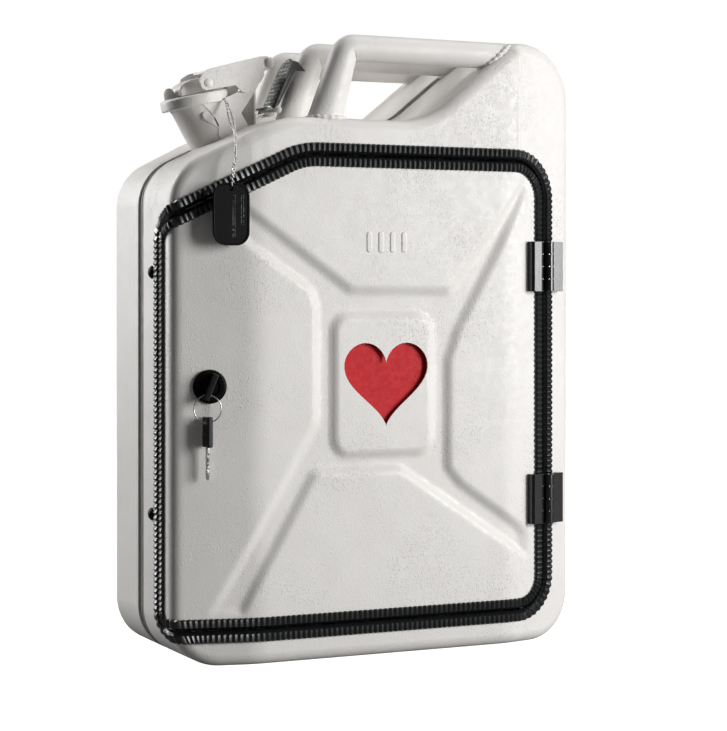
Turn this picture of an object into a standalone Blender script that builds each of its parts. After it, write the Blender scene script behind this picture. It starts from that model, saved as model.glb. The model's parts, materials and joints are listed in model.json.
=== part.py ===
"""Jerry can first aid cabinet.

A pressed steel 20 litre can whose front is cut out and hung on two hinges as a door.
Frame: origin under the middle of the can, +X to the hinge side, -Y to the front, +Z up, metres.
"""

import math

import bmesh
import bpy
from mathutils import Matrix, Vector

MM = 0.001
GAP = 0.3 * MM                  # air between pieces that touch

# The can
WIDTH = 345 * MM
DEPTH = 165 * MM
HEIGHT = 484 * MM
WALL = 1.2 * MM
FRONT = -DEPTH / 2              # plane of the flat front
CREASE = 109.4 * MM             # half the width of the flat front
FACET_DROP = 15.5 * MM          # how far a side facet falls back by the can's side
FACET = math.atan2(FACET_DROP, WIDTH / 2 - CREASE)
EDGE_RADIUS = 10 * MM           # rounding from facet to side
EDGE_STEPS = 3
TOP_LEVEL = 416 * MM            # top of the can between spout and hump
SHOULDER = (-WIDTH / 2, 373 * MM)
SEAM_GAP = 10 * MM              # open slot between the two pressings
SEAM_BAND = 16 * MM
SEAM_RIDGE = 3 * MM             # folded flanges that stand in the slot, flush with the can
FOOT_RADIUS = 38 * MM           # rounding from the sides to the bottom
CAN_STEPS = 8
CAN_CORNERS = [
    (-WIDTH / 2, 0.0, FOOT_RADIUS),
    (WIDTH / 2, 0.0, FOOT_RADIUS),
    (WIDTH / 2, HEIGHT, 46 * MM),
    (117 * MM, HEIGHT, 12 * MM),
    (35 * MM, TOP_LEVEL, 30 * MM),
    (-84.5 * MM, TOP_LEVEL, 60 * MM),
    (*SHOULDER, 36 * MM),
]

# The door is laid out flat: s runs along the can's section from its middle, z is height
DOOR_LEFT_DEPTH = 39.5 * MM     # how far the door wraps round the left side
TURN = math.pi / 2 - FACET
EDGE_TANGENT = EDGE_RADIUS * math.tan(TURN / 2)
FACET_RUN = (WIDTH / 2 - CREASE) / math.cos(FACET) - EDGE_TANGENT
ARC_START = CREASE + FACET_RUN
ARC_END = ARC_START + EDGE_RADIUS * TURN
SIDE_START = FACET_DROP + EDGE_TANGENT
DOOR_RIGHT = CREASE + (143.7 * MM - CREASE) / math.cos(FACET)
DOOR_LEFT = -(ARC_END + DOOR_LEFT_DEPTH - SIDE_START)
DOOR_BOTTOM = 27.5 * MM
DOOR_TOP = 387 * MM
DOOR_LINE = [
    (DOOR_LEFT, DOOR_BOTTOM, 14 * MM),
    (DOOR_RIGHT, DOOR_BOTTOM, 26 * MM),
    (DOOR_RIGHT, DOOR_TOP, 30 * MM),
    (-72.4 * MM, DOOR_TOP, 60 * MM),
    (DOOR_LEFT, 328 * MM, 14 * MM),
]
METAL_EDGE = 2.4 * MM           # from the middle of the cut to the metal on either side
FOOT_EASE = 20 * MM             # facet length over which the skin eases into the foot's rounding
BENDS = [CREASE, -CREASE, FOOT_EASE - ARC_START] + [
    -(ARC_START + i * (ARC_END - ARC_START) / EDGE_STEPS) for i in range(EDGE_STEPS + 1)
]

# Pressings in the door
CHANNEL_DEPTH = 2.5 * MM
CHANNEL = [(x * MM, z * MM) for x, z in (
    (-118, 343), (-118, 321), (-63, 283), (-59.7, 269), (-59.7, 182), (-141, 44),
    (-121.5, 42.5), (-63, 142.5), (-58, 144.6), (12, 144.6), (129, 68.5), (131, 84.5),
    (64.5, 130), (52.8, 143), (52.8, 228), (61.7, 252), (122.5, 358.5), (124, 364.5),
    (54.5, 282), (-31, 282.5),
)]
PAD_CENTRE = Vector((-3 * MM, 210 * MM))
PAD_SIZE = (84 * MM, 108 * MM)
PAD_RADIUS = 12 * MM
WINDOW_CENTRE = Vector((-1.4 * MM, 210 * MM))
WINDOW_WIDTH = 70 * MM

# Lock, on the left facet
LOCK_X = -144.5 * MM
LOCK_Z = 210.8 * MM
LOCK_RADIUS = 12.8 * MM
BARREL_RADIUS = 9.3 * MM
BARREL_LENGTH = 26 * MM
KEY_TILT = math.radians(22)
RING_RADIUS = 10.3 * MM
RING_WIRE = 0.7 * MM

# Hinges, on the right facet
HINGE_X = 144.6 * MM
HINGE_Y = FRONT + 0.6 * MM
HINGE_HEIGHTS = {"upper": 302.5 * MM, "lower": 115.5 * MM}
HINGE_LENGTH = 40 * MM
KNUCKLE_RADIUS = 4.4 * MM
HINGE_PIN = 1.8 * MM
LEAF_LIFT = 3.4 * MM
LEAF_THICK = 3.4 * MM

# Handles
HANDLE_ROWS = {"front": FRONT + 17 * MM, "middle": 0.0, "rear": -FRONT - 17 * MM}
HANDLE_RADIUS = 10.5 * MM

# Spout and closure, all centred on the seam
CAP_TILT = math.radians(13)
CAP_TOP = Vector((-129.5 * MM, 0, 436.5 * MM))
CAP_RADIUS = 27.2 * MM
CAP_HEIGHT = 9 * MM
NECK_RADIUS = 21.5 * MM
NECK_BASE = Vector((-104 * MM, 0, 385 * MM))
ARM_AXIS = Vector((-74 * MM, 0, 462.5 * MM))
BOSS = Vector((-126.5 * MM, 0, 444 * MM))
LEVER_AXIS = Vector((-66 * MM, 0, 426 * MM))
LEVER_TOP = Vector((-53.5 * MM, 0, 461 * MM))
BRACKET_HALF = 20.4 * MM        # inner half spacing of the bracket's side plates
PLATE = 1.8 * MM

# Tag
TAG_HOLE = Vector((-129.9 * MM, -86.2 * MM, 359 * MM))
TAG_SIZE = (28 * MM, 47 * MM)
TAG_THICK = 1.2 * MM

# Inside
SHELF_HEIGHTS = {"lower": 150 * MM, "upper": 270 * MM}
SCREW_HEIGHTS = {"upper": 297 * MM, "lower": 112 * MM}
SCREW_Y = FRONT + 58 * MM


def clear_scene():
    for old in list(bpy.data.objects):
        bpy.data.objects.remove(old, do_unlink=True)
    for name in ("jerry_can_cabinet", "cutters"):
        old = bpy.data.collections.get(name)
        if old:
            bpy.data.collections.remove(old)
        new = bpy.data.collections.new(name)
        bpy.context.scene.collection.children.link(new)


def make_material(name, colour, roughness, metallic):
    mat = bpy.data.materials.new(name)
    mat.use_nodes = True
    shader = mat.node_tree.nodes["Principled BSDF"]
    shader.inputs["Base Color"].default_value = (*colour, 1)
    shader.inputs["Roughness"].default_value = roughness
    shader.inputs["Metallic"].default_value = metallic
    return mat


def add(name, bm, mat=None, collection="jerry_can_cabinet"):
    """Put a bmesh into the scene as an object."""
    bmesh.ops.recalc_face_normals(bm, faces=bm.faces)
    mesh = bpy.data.meshes.new(name)
    bm.to_mesh(mesh)
    bm.free()
    obj = bpy.data.objects.new(name, mesh)
    bpy.data.collections[collection].objects.link(obj)
    if mat:
        mesh.materials.append(mat)
    else:
        obj.hide_render = True
        obj.display_type = "WIRE"
    return obj


def combine(obj, cutter, operation, solver="EXACT"):
    """Join or cut with a Boolean, applied at once; the cutter is used up."""
    mod = obj.modifiers.new(operation.lower(), "BOOLEAN")
    mod.object = cutter
    mod.operation = operation
    mod.solver = solver
    graph = bpy.context.evaluated_depsgraph_get()
    mesh = bpy.data.meshes.new_from_object(obj.evaluated_get(graph))
    obj.modifiers.remove(mod)
    mesh.name = obj.name
    obj.data = mesh
    bpy.data.objects.remove(cutter, do_unlink=True)


def smooth(obj, angle=35):
    obj.data.shade_smooth()
    obj.data.set_sharp_from_angle(angle=math.radians(angle))


def rounded(corners, grow=0.0, steps=5):
    """A counter-clockwise polygon of (x, z, radius) moved out by grow, its corners rounded."""
    count = len(corners)
    flat = [Vector(c[:2]) for c in corners]
    lines = []
    for i in range(count):
        along = (flat[(i + 1) % count] - flat[i]).normalized()
        lines.append((flat[i] + Vector((along.y, -along.x)) * grow, along))
    points = []
    for i in range(count):
        (a, da), (b, db) = lines[i - 1], lines[i]
        cross = da.x * db.y - da.y * db.x
        corner = a + da * ((b - a).x * db.y - (b - a).y * db.x) / cross
        if corners[i][2] == 0:
            points.append(corner)
            continue
        side = 1 if cross > 0 else -1
        radius = corners[i][2] + side * grow
        turn = math.atan2(abs(cross), da.dot(db))
        start = corner - da * radius * math.tan(turn / 2)
        centre = start + Vector((-da.y, da.x)) * radius * side
        for k in range(steps + 1):
            points.append(centre + Matrix.Rotation(side * turn * k / steps, 2) @ (start - centre))
    return points


def split_at_bends(points):
    """Add a point wherever the loop crosses a bend of the can's section."""
    out = []
    for a, b in zip(points, points[1:] + points[:1]):
        out.append(a)
        crossings = [(bend - a.x) / (b.x - a.x) for bend in BENDS
                     if (a.x - bend) * (b.x - bend) < 0]
        out += [a.lerp(b, t) for t in sorted(crossings)]
    return out


def foot_tuck(z):
    """How far the can's side has curved in at a height near the bottom."""
    rise = max(FOOT_RADIUS - z, 0)
    return FOOT_RADIUS - math.sqrt(FOOT_RADIUS ** 2 - rise ** 2)


def on_skin(s, z, lift):
    """A point of the can's front and left side, lift above its surface."""
    away = abs(s) - CREASE
    if away <= 0:
        return Vector((s, FRONT - lift, z))
    side = 1 if s > 0 else -1
    angle, base = FACET, Vector((CREASE, 0))
    if away <= FACET_RUN:
        base += Vector((math.cos(FACET), math.sin(FACET))) * away
    else:
        angle = FACET + min((abs(s) - ARC_START) / EDGE_RADIUS, TURN)
        centre = Vector((WIDTH / 2 - EDGE_RADIUS, SIDE_START))
        base = centre + Vector((math.sin(angle), -math.cos(angle))) * EDGE_RADIUS
        base.y += max(abs(s) - ARC_END, 0)
    tuck = foot_tuck(z) * min(max((away - FACET_RUN) / FOOT_EASE + 1, 0), 1)
    base -= Vector((1, math.tan(FACET))) * tuck
    place = base + Vector((math.sin(angle), -math.cos(angle))) * lift
    return Vector((side * place.x, FRONT + place.y, z))


def skin_plate(name, outline, top, bottom, mat=None):
    """A plate that follows the can's front between two lifts, from its flat outline."""
    bm = bmesh.new()
    bm.faces.new([bm.verts.new((p.x, 0, p.y)) for p in outline])
    cuts = [((bend, 0, 0), (1, 0, 0)) for bend in BENDS]
    cuts += [((0, 0, FOOT_RADIUS * share), (0, 0, 1)) for share in (1, 0.85, 0.7, 0.55)]
    for place, normal in cuts:
        bmesh.ops.bisect_plane(bm, geom=bm.verts[:] + bm.edges[:] + bm.faces[:], dist=1e-7,
                               plane_co=place, plane_no=normal)
    lower = list(bm.verts)
    upper = [v for v in bmesh.ops.extrude_face_region(bm, geom=bm.faces[:])["geom"]
             if isinstance(v, bmesh.types.BMVert)]
    for verts, lift in ((lower, bottom), (upper, top)):
        for v in verts:
            v.co = on_skin(v.co.x, v.co.z, lift)
    return add(name, bm, mat, "jerry_can_cabinet" if mat else "cutters")


def skin_loop(name, corners, profile, mat):
    """A strip swept round a closed line on the can's front; profile points are (out, lift)."""
    bm = bmesh.new()
    rings = []
    for out, lift in profile:
        line = split_at_bends(rounded(corners, out))
        rings.append([bm.verts.new(on_skin(p.x, p.y, lift)) for p in line])
    for ring, other in zip(rings, rings[1:] + rings[:1]):
        for i in range(len(ring)):
            j = (i + 1) % len(ring)
            bm.faces.new((ring[i], ring[j], other[j], other[i]))
    return add(name, bm, mat)


def prism(name, outline, y_low, y_high, mat=None):
    """An outline in the XZ plane given thickness along Y."""
    points = [(p[0], y_low, p[1]) for p in outline]
    return slab(name, points, (0, y_high - y_low, 0), mat)


def slab(name, points, along, mat=None):
    """A flat outline given thickness along a direction."""
    bm = bmesh.new()
    face = bm.faces.new([bm.verts.new(p) for p in points])
    moved = bmesh.ops.extrude_face_region(bm, geom=[face])["geom"]
    verts = [v for v in moved if isinstance(v, bmesh.types.BMVert)]
    bmesh.ops.translate(bm, verts=verts, vec=along)
    return add(name, bm, mat, "jerry_can_cabinet" if mat else "cutters")


def box(name, low, high, mat=None):
    bm = bmesh.new()
    bmesh.ops.create_cube(bm, size=1)
    size = Vector(high) - Vector(low)
    bmesh.ops.scale(bm, verts=bm.verts, vec=size)
    bmesh.ops.translate(bm, verts=bm.verts, vec=Vector(low) + size / 2)
    return add(name, bm, mat, "jerry_can_cabinet" if mat else "cutters")


def rod(name, centre, axis, radius, length, mat=None, sides=20):
    """A cylinder centred on a point, along an axis."""
    bm = bmesh.new()
    bmesh.ops.create_cone(bm, cap_ends=True, segments=sides, radius1=radius, radius2=radius,
                          depth=length)
    turn = Vector((0, 0, 1)).rotation_difference(Vector(axis)).to_matrix().to_4x4()
    bmesh.ops.transform(bm, verts=bm.verts, matrix=Matrix.Translation(centre) @ turn)
    obj = add(name, bm, mat, "jerry_can_cabinet" if mat else "cutters")
    smooth(obj)
    return obj


def turned(name, profile, mat, steps=24):
    """A turned piece: the profile runs down its outer side and the Screw turns it about Z."""
    bm = bmesh.new()
    closed = profile[0] == profile[-1]
    verts = [bm.verts.new((r, 0, z)) for r, z in (profile[:-1] if closed else profile)]
    for a, b in zip(verts, verts[1:] + (verts[:1] if closed else [])):
        bm.edges.new((a, b))
    mesh = bpy.data.meshes.new(name)
    bm.to_mesh(mesh)
    bm.free()
    obj = bpy.data.objects.new(name, mesh)
    bpy.data.collections["jerry_can_cabinet"].objects.link(obj)
    mesh.materials.append(mat)
    mod = obj.modifiers.new("turn", "SCREW")
    mod.steps = steps
    mod.render_steps = steps
    mod.use_merge_vertices = True
    mod.merge_threshold = 1e-6
    smooth(obj)
    return obj


def can_block(name, grow):
    """The whole can as a solid, its faces moved out by grow."""
    bm = bmesh.new()
    outline = rounded(CAN_CORNERS, grow, CAN_STEPS)
    front = bm.faces.new([bm.verts.new((p.x, FRONT - grow, p.y)) for p in outline])
    moved = bmesh.ops.extrude_face_region(bm, geom=[front])["geom"]
    verts = [v for v in moved if isinstance(v, bmesh.types.BMVert)]
    bmesh.ops.translate(bm, verts=verts, vec=(0, DEPTH + 2 * grow, 0))
    for side in (-1, 1):
        for face in (-1, 1):
            normal = Vector((side * math.sin(FACET), face * math.cos(FACET), 0))
            crease = Vector((side * CREASE, face * DEPTH / 2, 0)) + normal * grow
            cut = bmesh.ops.bisect_plane(bm, geom=bm.verts[:] + bm.edges[:] + bm.faces[:],
                                         dist=1e-7, plane_co=crease, plane_no=normal,
                                         clear_outer=True)["geom_cut"]
            edges = [e for e in cut if isinstance(e, bmesh.types.BMEdge)]
            bmesh.ops.edgeloop_fill(bm, edges=edges)
    bmesh.ops.recalc_face_normals(bm, faces=bm.faces)
    rim = [e for e in bm.edges
           if sorted(abs(f.normal.y) > 0.5 for f in e.link_faces) == [False, True]]
    bmesh.ops.bevel(bm, geom=rim, offset=EDGE_TANGENT + grow * math.tan(TURN / 2),
                    offset_type="OFFSET", segments=EDGE_STEPS, profile=0.5, affect="EDGES",
                    material=-1, clamp_overlap=False)
    return add(name, bm, None, "cutters")


def make_can(mats):
    """Front and rear pressings, the seam band between them, and the door opening."""
    far = 1.0
    parts = {}
    for name, low, high in (("front_frame", -SEAM_GAP / 2, far), ("rear_shell", -far, SEAM_GAP / 2)):
        shell = can_block(name, 0)
        combine(shell, can_block("inner", -WALL), "DIFFERENCE")
        combine(shell, box("half", (-far, low, -far), (far, high, far)), "DIFFERENCE")
        shell.hide_render = False
        shell.display_type = "TEXTURED"
        bpy.data.collections["cutters"].objects.unlink(shell)
        bpy.data.collections["jerry_can_cabinet"].objects.link(shell)
        shell.data.materials.clear()
        shell.data.materials.append(mats["white"])
        parts[name] = shell
    opening = rounded(DOOR_LINE, METAL_EDGE)
    combine(parts["front_frame"], skin_plate("opening", opening, 6 * MM, -8 * MM), "DIFFERENCE")
    for level in SCREW_HEIGHTS.values():
        hole = rod("hole", (-WIDTH / 2, SCREW_Y, level), (1, 0, 0), 2.4 * MM, 20 * MM)
        combine(parts["front_frame"], hole, "DIFFERENCE")
    for side in (-1, 1):
        hole = rod("hole", (side * 70 * MM, -FRONT, 350 * MM), (0, 1, 0), 4 * MM, 20 * MM)
        combine(parts["rear_shell"], hole, "DIFFERENCE")
    for shell in parts.values():
        smooth(shell, 20)
    band_out = rounded(CAN_CORNERS, -WALL - GAP, CAN_STEPS)
    band = prism("seam_band", band_out, -SEAM_BAND / 2, SEAM_BAND / 2, mats["white"])
    ridge = prism("ridge", rounded(CAN_CORNERS, 0, CAN_STEPS), -SEAM_RIDGE / 2, SEAM_RIDGE / 2)
    combine(band, ridge, "UNION")
    band_in = rounded(CAN_CORNERS, -WALL - GAP - 1.5 * MM, CAN_STEPS)
    combine(band, prism("band_hole", band_in, -SEAM_BAND, SEAM_BAND), "DIFFERENCE")
    smooth(band)


def make_trims(mats):
    """Ribbed rubber edging: one U strip on the body's cut edge, one on the door's."""
    profile = [(0.6, -3.8), (8, -3.8), (8, -1.9), (2.1, -1.9), (2.1, 0.5), (9.2, 0.5),
               (9.2, 2.0), (8.2, 2.9), (1.6, 2.9), (0.6, 2.0)]
    for name, side in (("body_trim", 1), ("door_trim", -1)):
        strip = skin_loop(name, DOOR_LINE, [(side * d * MM, h * MM) for d, h in profile],
                          mats["rubber"])
        smooth(strip)


def heart(centre, width, points=36):
    """A heart outline, counter-clockwise."""
    scale = width / 32
    out = []
    for i in range(points):
        t = -2 * math.pi * (i + 0.5) / points
        x = 16 * math.sin(t) ** 3
        z = 13 * math.cos(t) - 5 * math.cos(2 * t) - 2 * math.cos(3 * t) - math.cos(4 * t)
        out.append(Vector((centre.x + x * scale, centre.y + (z + 2.5) * scale)))
    return out


def pad_outline(grow=0.0):
    half = Vector(PAD_SIZE) / 2
    low, high = PAD_CENTRE - half, PAD_CENTRE + half
    corners = [(low.x, low.y), (high.x, low.y), (high.x, high.y), (low.x, high.y)]
    return rounded([(x, z, PAD_RADIUS) for x, z in corners], grow, 3)


def make_door(mats):
    """Door skin with its pressed cross channels, raised pad and heart window."""
    door = skin_plate("door_skin", rounded(DOOR_LINE, -METAL_EDGE), 0, -WALL, mats["white"])
    corners = [(x, z, 0) for x, z in CHANNEL]
    channel = rounded(corners)
    tray = rounded(corners, WALL)
    floor = -CHANNEL_DEPTH - WALL
    combine(door, skin_plate("tray", tray, -WALL / 2, floor), "UNION", "MANIFOLD")
    groove = skin_plate("groove", channel, 5 * MM, -CHANNEL_DEPTH)
    pad = prism("pad", pad_outline(), FRONT - 20 * MM, FRONT + 20 * MM)
    combine(groove, pad, "DIFFERENCE", "MANIFOLD")
    combine(door, groove, "DIFFERENCE", "MANIFOLD")
    back = prism("pad_back", pad_outline(-WALL), FRONT + WALL, FRONT + 20 * MM)
    combine(door, back, "DIFFERENCE", "MANIFOLD")
    window = prism("window", heart(WINDOW_CENTRE, WINDOW_WIDTH), FRONT - 20 * MM, FRONT + 20 * MM)
    combine(door, window, "DIFFERENCE", "MANIFOLD")
    hole = rod("hole", lock_point(0), lock_axis(), BARREL_RADIUS + GAP, 20 * MM, sides=28)
    combine(door, hole, "DIFFERENCE", "MANIFOLD")
    smooth(door, 20)
    plate_y = FRONT - floor + GAP
    half = WINDOW_WIDTH / 2 + 8 * MM
    low = (WINDOW_CENTRE.x - half, plate_y, WINDOW_CENTRE.y - half)
    high = (WINDOW_CENTRE.x + half, plate_y + 1 * MM, WINDOW_CENTRE.y + half)
    box("red_insert", low, high, mats["red"])


def lock_point(depth):
    """A point on the lock's axis, depth behind the facet's surface."""
    s = -(CREASE + (abs(LOCK_X) - CREASE) / math.cos(FACET))
    return on_skin(s, LOCK_Z, -depth)


def lock_axis():
    return Vector((math.sin(FACET), math.cos(FACET), 0))


def place_matrix():
    """The lock's frame: +Z out of the door along the lock's axis."""
    out = Matrix.Rotation(-FACET, 4, "Z") @ Matrix.Rotation(math.pi / 2, 4, "X")
    return Matrix.Translation(lock_point(0)) @ out


def make_lock(mats):
    """Cam lock: housing, nut behind the skin, turning plug with its cam, and the key in it."""
    face = LOCK_RADIUS
    housing = turned("lock_housing", [
        (7.2 * MM, 3.2 * MM), (11.4 * MM, 3.2 * MM), (face, 2.0 * MM), (face, GAP),
        (BARREL_RADIUS, GAP), (BARREL_RADIUS, -BARREL_LENGTH), (7.2 * MM, -BARREL_LENGTH),
        (7.2 * MM, 3.2 * MM)], mats["black"], 28)
    housing.matrix_world = place_matrix()
    nut = turned("lock_nut", [
        (BARREL_RADIUS + GAP, -WALL - GAP), (13 * MM, -WALL - GAP), (13 * MM, -6 * MM),
        (BARREL_RADIUS + GAP, -6 * MM), (BARREL_RADIUS + GAP, -WALL - GAP)], mats["steel"], 24)
    nut.matrix_world = place_matrix()
    plug = turned("lock_plug", [
        (0, 2.6 * MM), (6.9 * MM, 2.6 * MM), (6.9 * MM, -BARREL_LENGTH - 1 * MM),
        (0, -BARREL_LENGTH - 1 * MM)], mats["black"], 24)
    plug.matrix_world = place_matrix()
    cam = box("lock_cam", (-6 * MM, -28 * MM, -BARREL_LENGTH - 4 * MM),
              (6 * MM, 7 * MM, -BARREL_LENGTH - 1.3 * MM), mats["steel"])
    cam.matrix_world = place_matrix()
    key = box("key_in_lock", (-2.2 * MM, -10.5 * MM, 3.6 * MM), (2.2 * MM, 10.5 * MM, 11 * MM),
              mats["black"])
    slot = box("ring_slot", (-5 * MM, -9 * MM, 5.4 * MM), (5 * MM, -4.8 * MM, 8.8 * MM))
    combine(key, slot, "DIFFERENCE")
    key.matrix_world = place_matrix() @ Matrix.Rotation(-KEY_TILT, 4, "Z")
    slot_low = Matrix.Rotation(-KEY_TILT, 4, "Z") @ Vector((0, -6.4 * MM, 7.1 * MM))
    top = place_matrix() @ slot_low
    ring = turned("key_ring", [
        (RING_RADIUS + RING_WIRE * math.cos(a), RING_WIRE * math.sin(a))
        for a in [-2 * math.pi * (k % 6) / 6 for k in range(7)]], mats["steel"], 28)
    centre = top - Vector((0, 0, RING_RADIUS))
    ring.matrix_world = Matrix.Translation(centre) @ Matrix.Rotation(-FACET, 4, "Z") \
        @ Matrix.Rotation(math.pi / 2, 4, "X")
    make_spare_key(mats, centre - Vector((0, 0, RING_RADIUS)))


def make_spare_key(mats, hang):
    """Spare key: a moulded head with an eye for the ring, and a blade below it."""
    head = box("spare_key_head", (-2.2 * MM, -5.6 * MM, -20.5 * MM), (2.2 * MM, 5.6 * MM, 2.6 * MM),
               mats["black"])
    eye = box("eye", (-5 * MM, -3.7 * MM, -2.6 * MM), (5 * MM, 3.7 * MM, 1.4 * MM))
    combine(head, eye, "DIFFERENCE")
    blade = box("spare_key_blade", (-0.9 * MM, -2 * MM, -45 * MM), (0.9 * MM, 2 * MM, -20.8 * MM),
                mats["steel"])
    for piece in (head, blade):
        piece.matrix_world = Matrix.Translation(hang) @ Matrix.Rotation(-FACET, 4, "Z")


def make_hinges(mats):
    """Two butt hinges: each a door leaf, a body leaf and a pin."""
    step = HINGE_LENGTH / 4
    top = LEAF_THICK / MM
    foot = GAP / MM - LEAF_LIFT / MM
    leaves = {
        "door": (-1, (0, 2), 10.8, [(1.5, 0.4), (19, 0.4), (19, 1.2), (17.5, top), (1.5, top)]),
        "body": (1, (1, 3), 12.8, [(1.5, 0.4), (17.5, 0.4), (17.5, 2.6), (16.7, top), (1.5, top)]),
    }
    for which, middle in HINGE_HEIGHTS.items():
        low, high = middle - HINGE_LENGTH / 2, middle + HINGE_LENGTH / 2
        axis = (HINGE_X, HINGE_Y, middle)
        for leaf, (side, knuckles, inner, outline) in leaves.items():
            end = outline[1][0]
            plate = leaf_block(f"hinge_{which}_{leaf}_leaf", outline, side, low, high, mats["hinge"])
            pad = [(inner, foot), (end, foot), (end, 1), (inner, 1)]
            combine(plate, leaf_block("foot", pad, side, low, high), "UNION", "MANIFOLD")
            clearance = rod("clear", axis, (0, 0, 1), KNUCKLE_RADIUS + 0.5 * MM, 2 * HINGE_LENGTH,
                            sides=24)
            combine(plate, clearance, "DIFFERENCE", "MANIFOLD")
            for k in knuckles:
                z = high - (k + 0.5) * step
                reach = step / 2 - GAP
                web = [(0, 0.6), (7, 0.6), (7, top), (0, top)]
                combine(plate, leaf_block("web", web, side, z - reach, z + reach), "UNION",
                        "MANIFOLD")
                knuckle = rod("knuckle", (HINGE_X, HINGE_Y, z), (0, 0, 1), KNUCKLE_RADIUS,
                              2 * reach, sides=24)
                combine(plate, knuckle, "UNION", "MANIFOLD")
            bore = rod("bore", axis, (0, 0, 1), HINGE_PIN + GAP, 2 * HINGE_LENGTH, sides=16)
            combine(plate, bore, "DIFFERENCE", "MANIFOLD")
            smooth(plate)
        rod(f"hinge_{which}_pin", axis, (0, 0, 1), HINGE_PIN, HINGE_LENGTH, mats["steel"], 16)


def leaf_block(name, outline, side, z_low, z_high, mat=None):
    """A hinge leaf section: points are (distance from the pin along the facet, height) in mm."""
    along = Vector((math.cos(FACET), math.sin(FACET), 0))
    out = Vector((math.sin(FACET), -math.cos(FACET), 0))
    start = on_skin(CREASE + (HINGE_X - CREASE) / math.cos(FACET), z_low, LEAF_LIFT)
    points = [start + along * side * d * MM + out * h * MM for d, h in outline]
    return slab(name, points, (0, 0, z_high - z_low), mat)


def tube_mesh(name, points, radii, mat, sides=12):
    """A round bar through points, made from a poly curve and turned into a mesh."""
    curve = bpy.data.curves.new(name, "CURVE")
    curve.dimensions = "3D"
    curve.bevel_depth = 1.0
    curve.bevel_resolution = sides // 4 - 1
    curve.use_fill_caps = True
    spline = curve.splines.new("POLY")
    spline.points.add(len(points) - 1)
    for point, place, radius in zip(spline.points, points, radii):
        point.co = (*place, 1)
        point.radius = radius
    bent = bpy.data.objects.new(name, curve)
    bpy.context.scene.collection.objects.link(bent)
    graph = bpy.context.evaluated_depsgraph_get()
    graph.update()
    mesh = bpy.data.meshes.new_from_object(bent.evaluated_get(graph))
    bpy.data.objects.remove(bent, do_unlink=True)
    bm = bmesh.new()
    bm.from_mesh(mesh)
    bpy.data.meshes.remove(mesh)
    bmesh.ops.remove_doubles(bm, verts=bm.verts, dist=1e-6)
    obj = add(name, bm, mat)
    obj.data.materials.clear()
    obj.data.materials.append(mat)
    return obj


def make_handles(mats):
    """Three carrying bars, welded to the can's top and to the hump."""
    path = [(-46, 405, 1.3), (-40, 428, 1.2), (-34, 450, 1.1), (-29.5, 463, 1.05),
            (-23, 471, 1.0), (-13, 473.5, 1.0), (60, 473.5, 1.0), (125, 473.5, 1.0)]
    for row, y in HANDLE_ROWS.items():
        points = [Vector((x * MM, y, z * MM)) for x, z, _ in path]
        bar = tube_mesh(f"handle_{row}", points, [HANDLE_RADIUS * r for _, _, r in path],
                        mats["white"], 16)
        combine(bar, can_block("grown", GAP), "DIFFERENCE")
        smooth(bar)


def tilt_frame(centre):
    """The closure's frame: Z along the cap's axis."""
    return Matrix.Translation(centre) @ Matrix.Rotation(-CAP_TILT, 4, "Y")


def neck_tube(name, radius, capped, mat=None):
    """The neck leans out from the can's shoulder, and its mouth is square to the cap."""
    mouth = tilt_frame(CAP_TOP) @ Vector((0, 0, -5.6 * MM))
    bm = bmesh.new()
    bmesh.ops.create_cone(bm, cap_ends=capped, segments=28, radius1=radius, radius2=radius, depth=1)
    for v in bm.verts:
        flat = Vector((v.co.x, v.co.y, 0))
        v.co = tilt_frame(mouth) @ flat if v.co.z > 0 else NECK_BASE + flat
    return add(name, bm, mat, "jerry_can_cabinet" if mat else "cutters")


def make_spout(mats):
    """Filler neck, cap with gasket and saddle, and the arm, bracket and lever that close it."""
    neck = neck_tube("spout_neck", NECK_RADIUS, False, mats["white"])
    wall = neck.modifiers.new("wall", "SOLIDIFY")
    wall.thickness = 1.5 * MM
    wall.offset = 1
    combine(neck, can_block("grown", GAP), "DIFFERENCE")
    neck.modifiers.clear()
    smooth(neck)
    r, h = CAP_RADIUS, CAP_HEIGHT
    cap = turned("spout_cap", [
        (0, 0), (r - 1.5 * MM, 0), (r, -1.5 * MM), (r, -h), (r - 1.5 * MM, -h),
        (r - 1.5 * MM, -1.8 * MM), (0, -1.8 * MM)], mats["white"], 32)
    cap.matrix_world = tilt_frame(CAP_TOP)
    gasket = turned("cap_gasket", [
        (0, -2.1 * MM), (24.5 * MM, -2.1 * MM), (24.5 * MM, -5 * MM), (0, -5 * MM)],
        mats["rubber"], 28)
    gasket.matrix_world = tilt_frame(CAP_TOP)
    make_saddle(mats)
    make_arm(mats)
    make_bracket(mats)
    make_lever(mats)


def make_saddle(mats):
    """The saddle on the cap that hangs it on the arm's pin, with a thumb tab at its left."""
    body = [(-15, 0.3), (15, 0.3), (15, 3), (8, 9), (3.6, 12.2), (-1, 12.2), (-9, 11), (-15, 6)]
    outline = [tilt_frame(CAP_TOP) @ Vector((x * MM, 0, z * MM)) for x, z in body]
    saddle = prism("cap_saddle", [(p.x, p.z) for p in outline], -12 * MM, 12 * MM, mats["white"])
    combine(saddle, rod("bore", BOSS, (0, 1, 0), 2.3 * MM, 60 * MM, sides=16), "DIFFERENCE")
    tab = [(-24, 0.3), (-16, 0.3), (-16, 5), (-17.5, 8), (-20, 9), (-22.5, 8), (-24, 5)]
    outline = [tilt_frame(CAP_TOP) @ Vector((x * MM, 0, z * MM)) for x, z in tab]
    prism("cap_tab", [(p.x, p.z) for p in outline], -0.9 * MM, 0.9 * MM, mats["white"])


def mirrored_plates(name, outline, inner, mat):
    """Two like plates, either side of the closure's middle."""
    plates = [prism(name if side > 0 else "twin", outline, min(side * inner, side * (inner + PLATE)),
                    max(side * inner, side * (inner + PLATE)), mat) for side in (1, -1)]
    return plates


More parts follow.
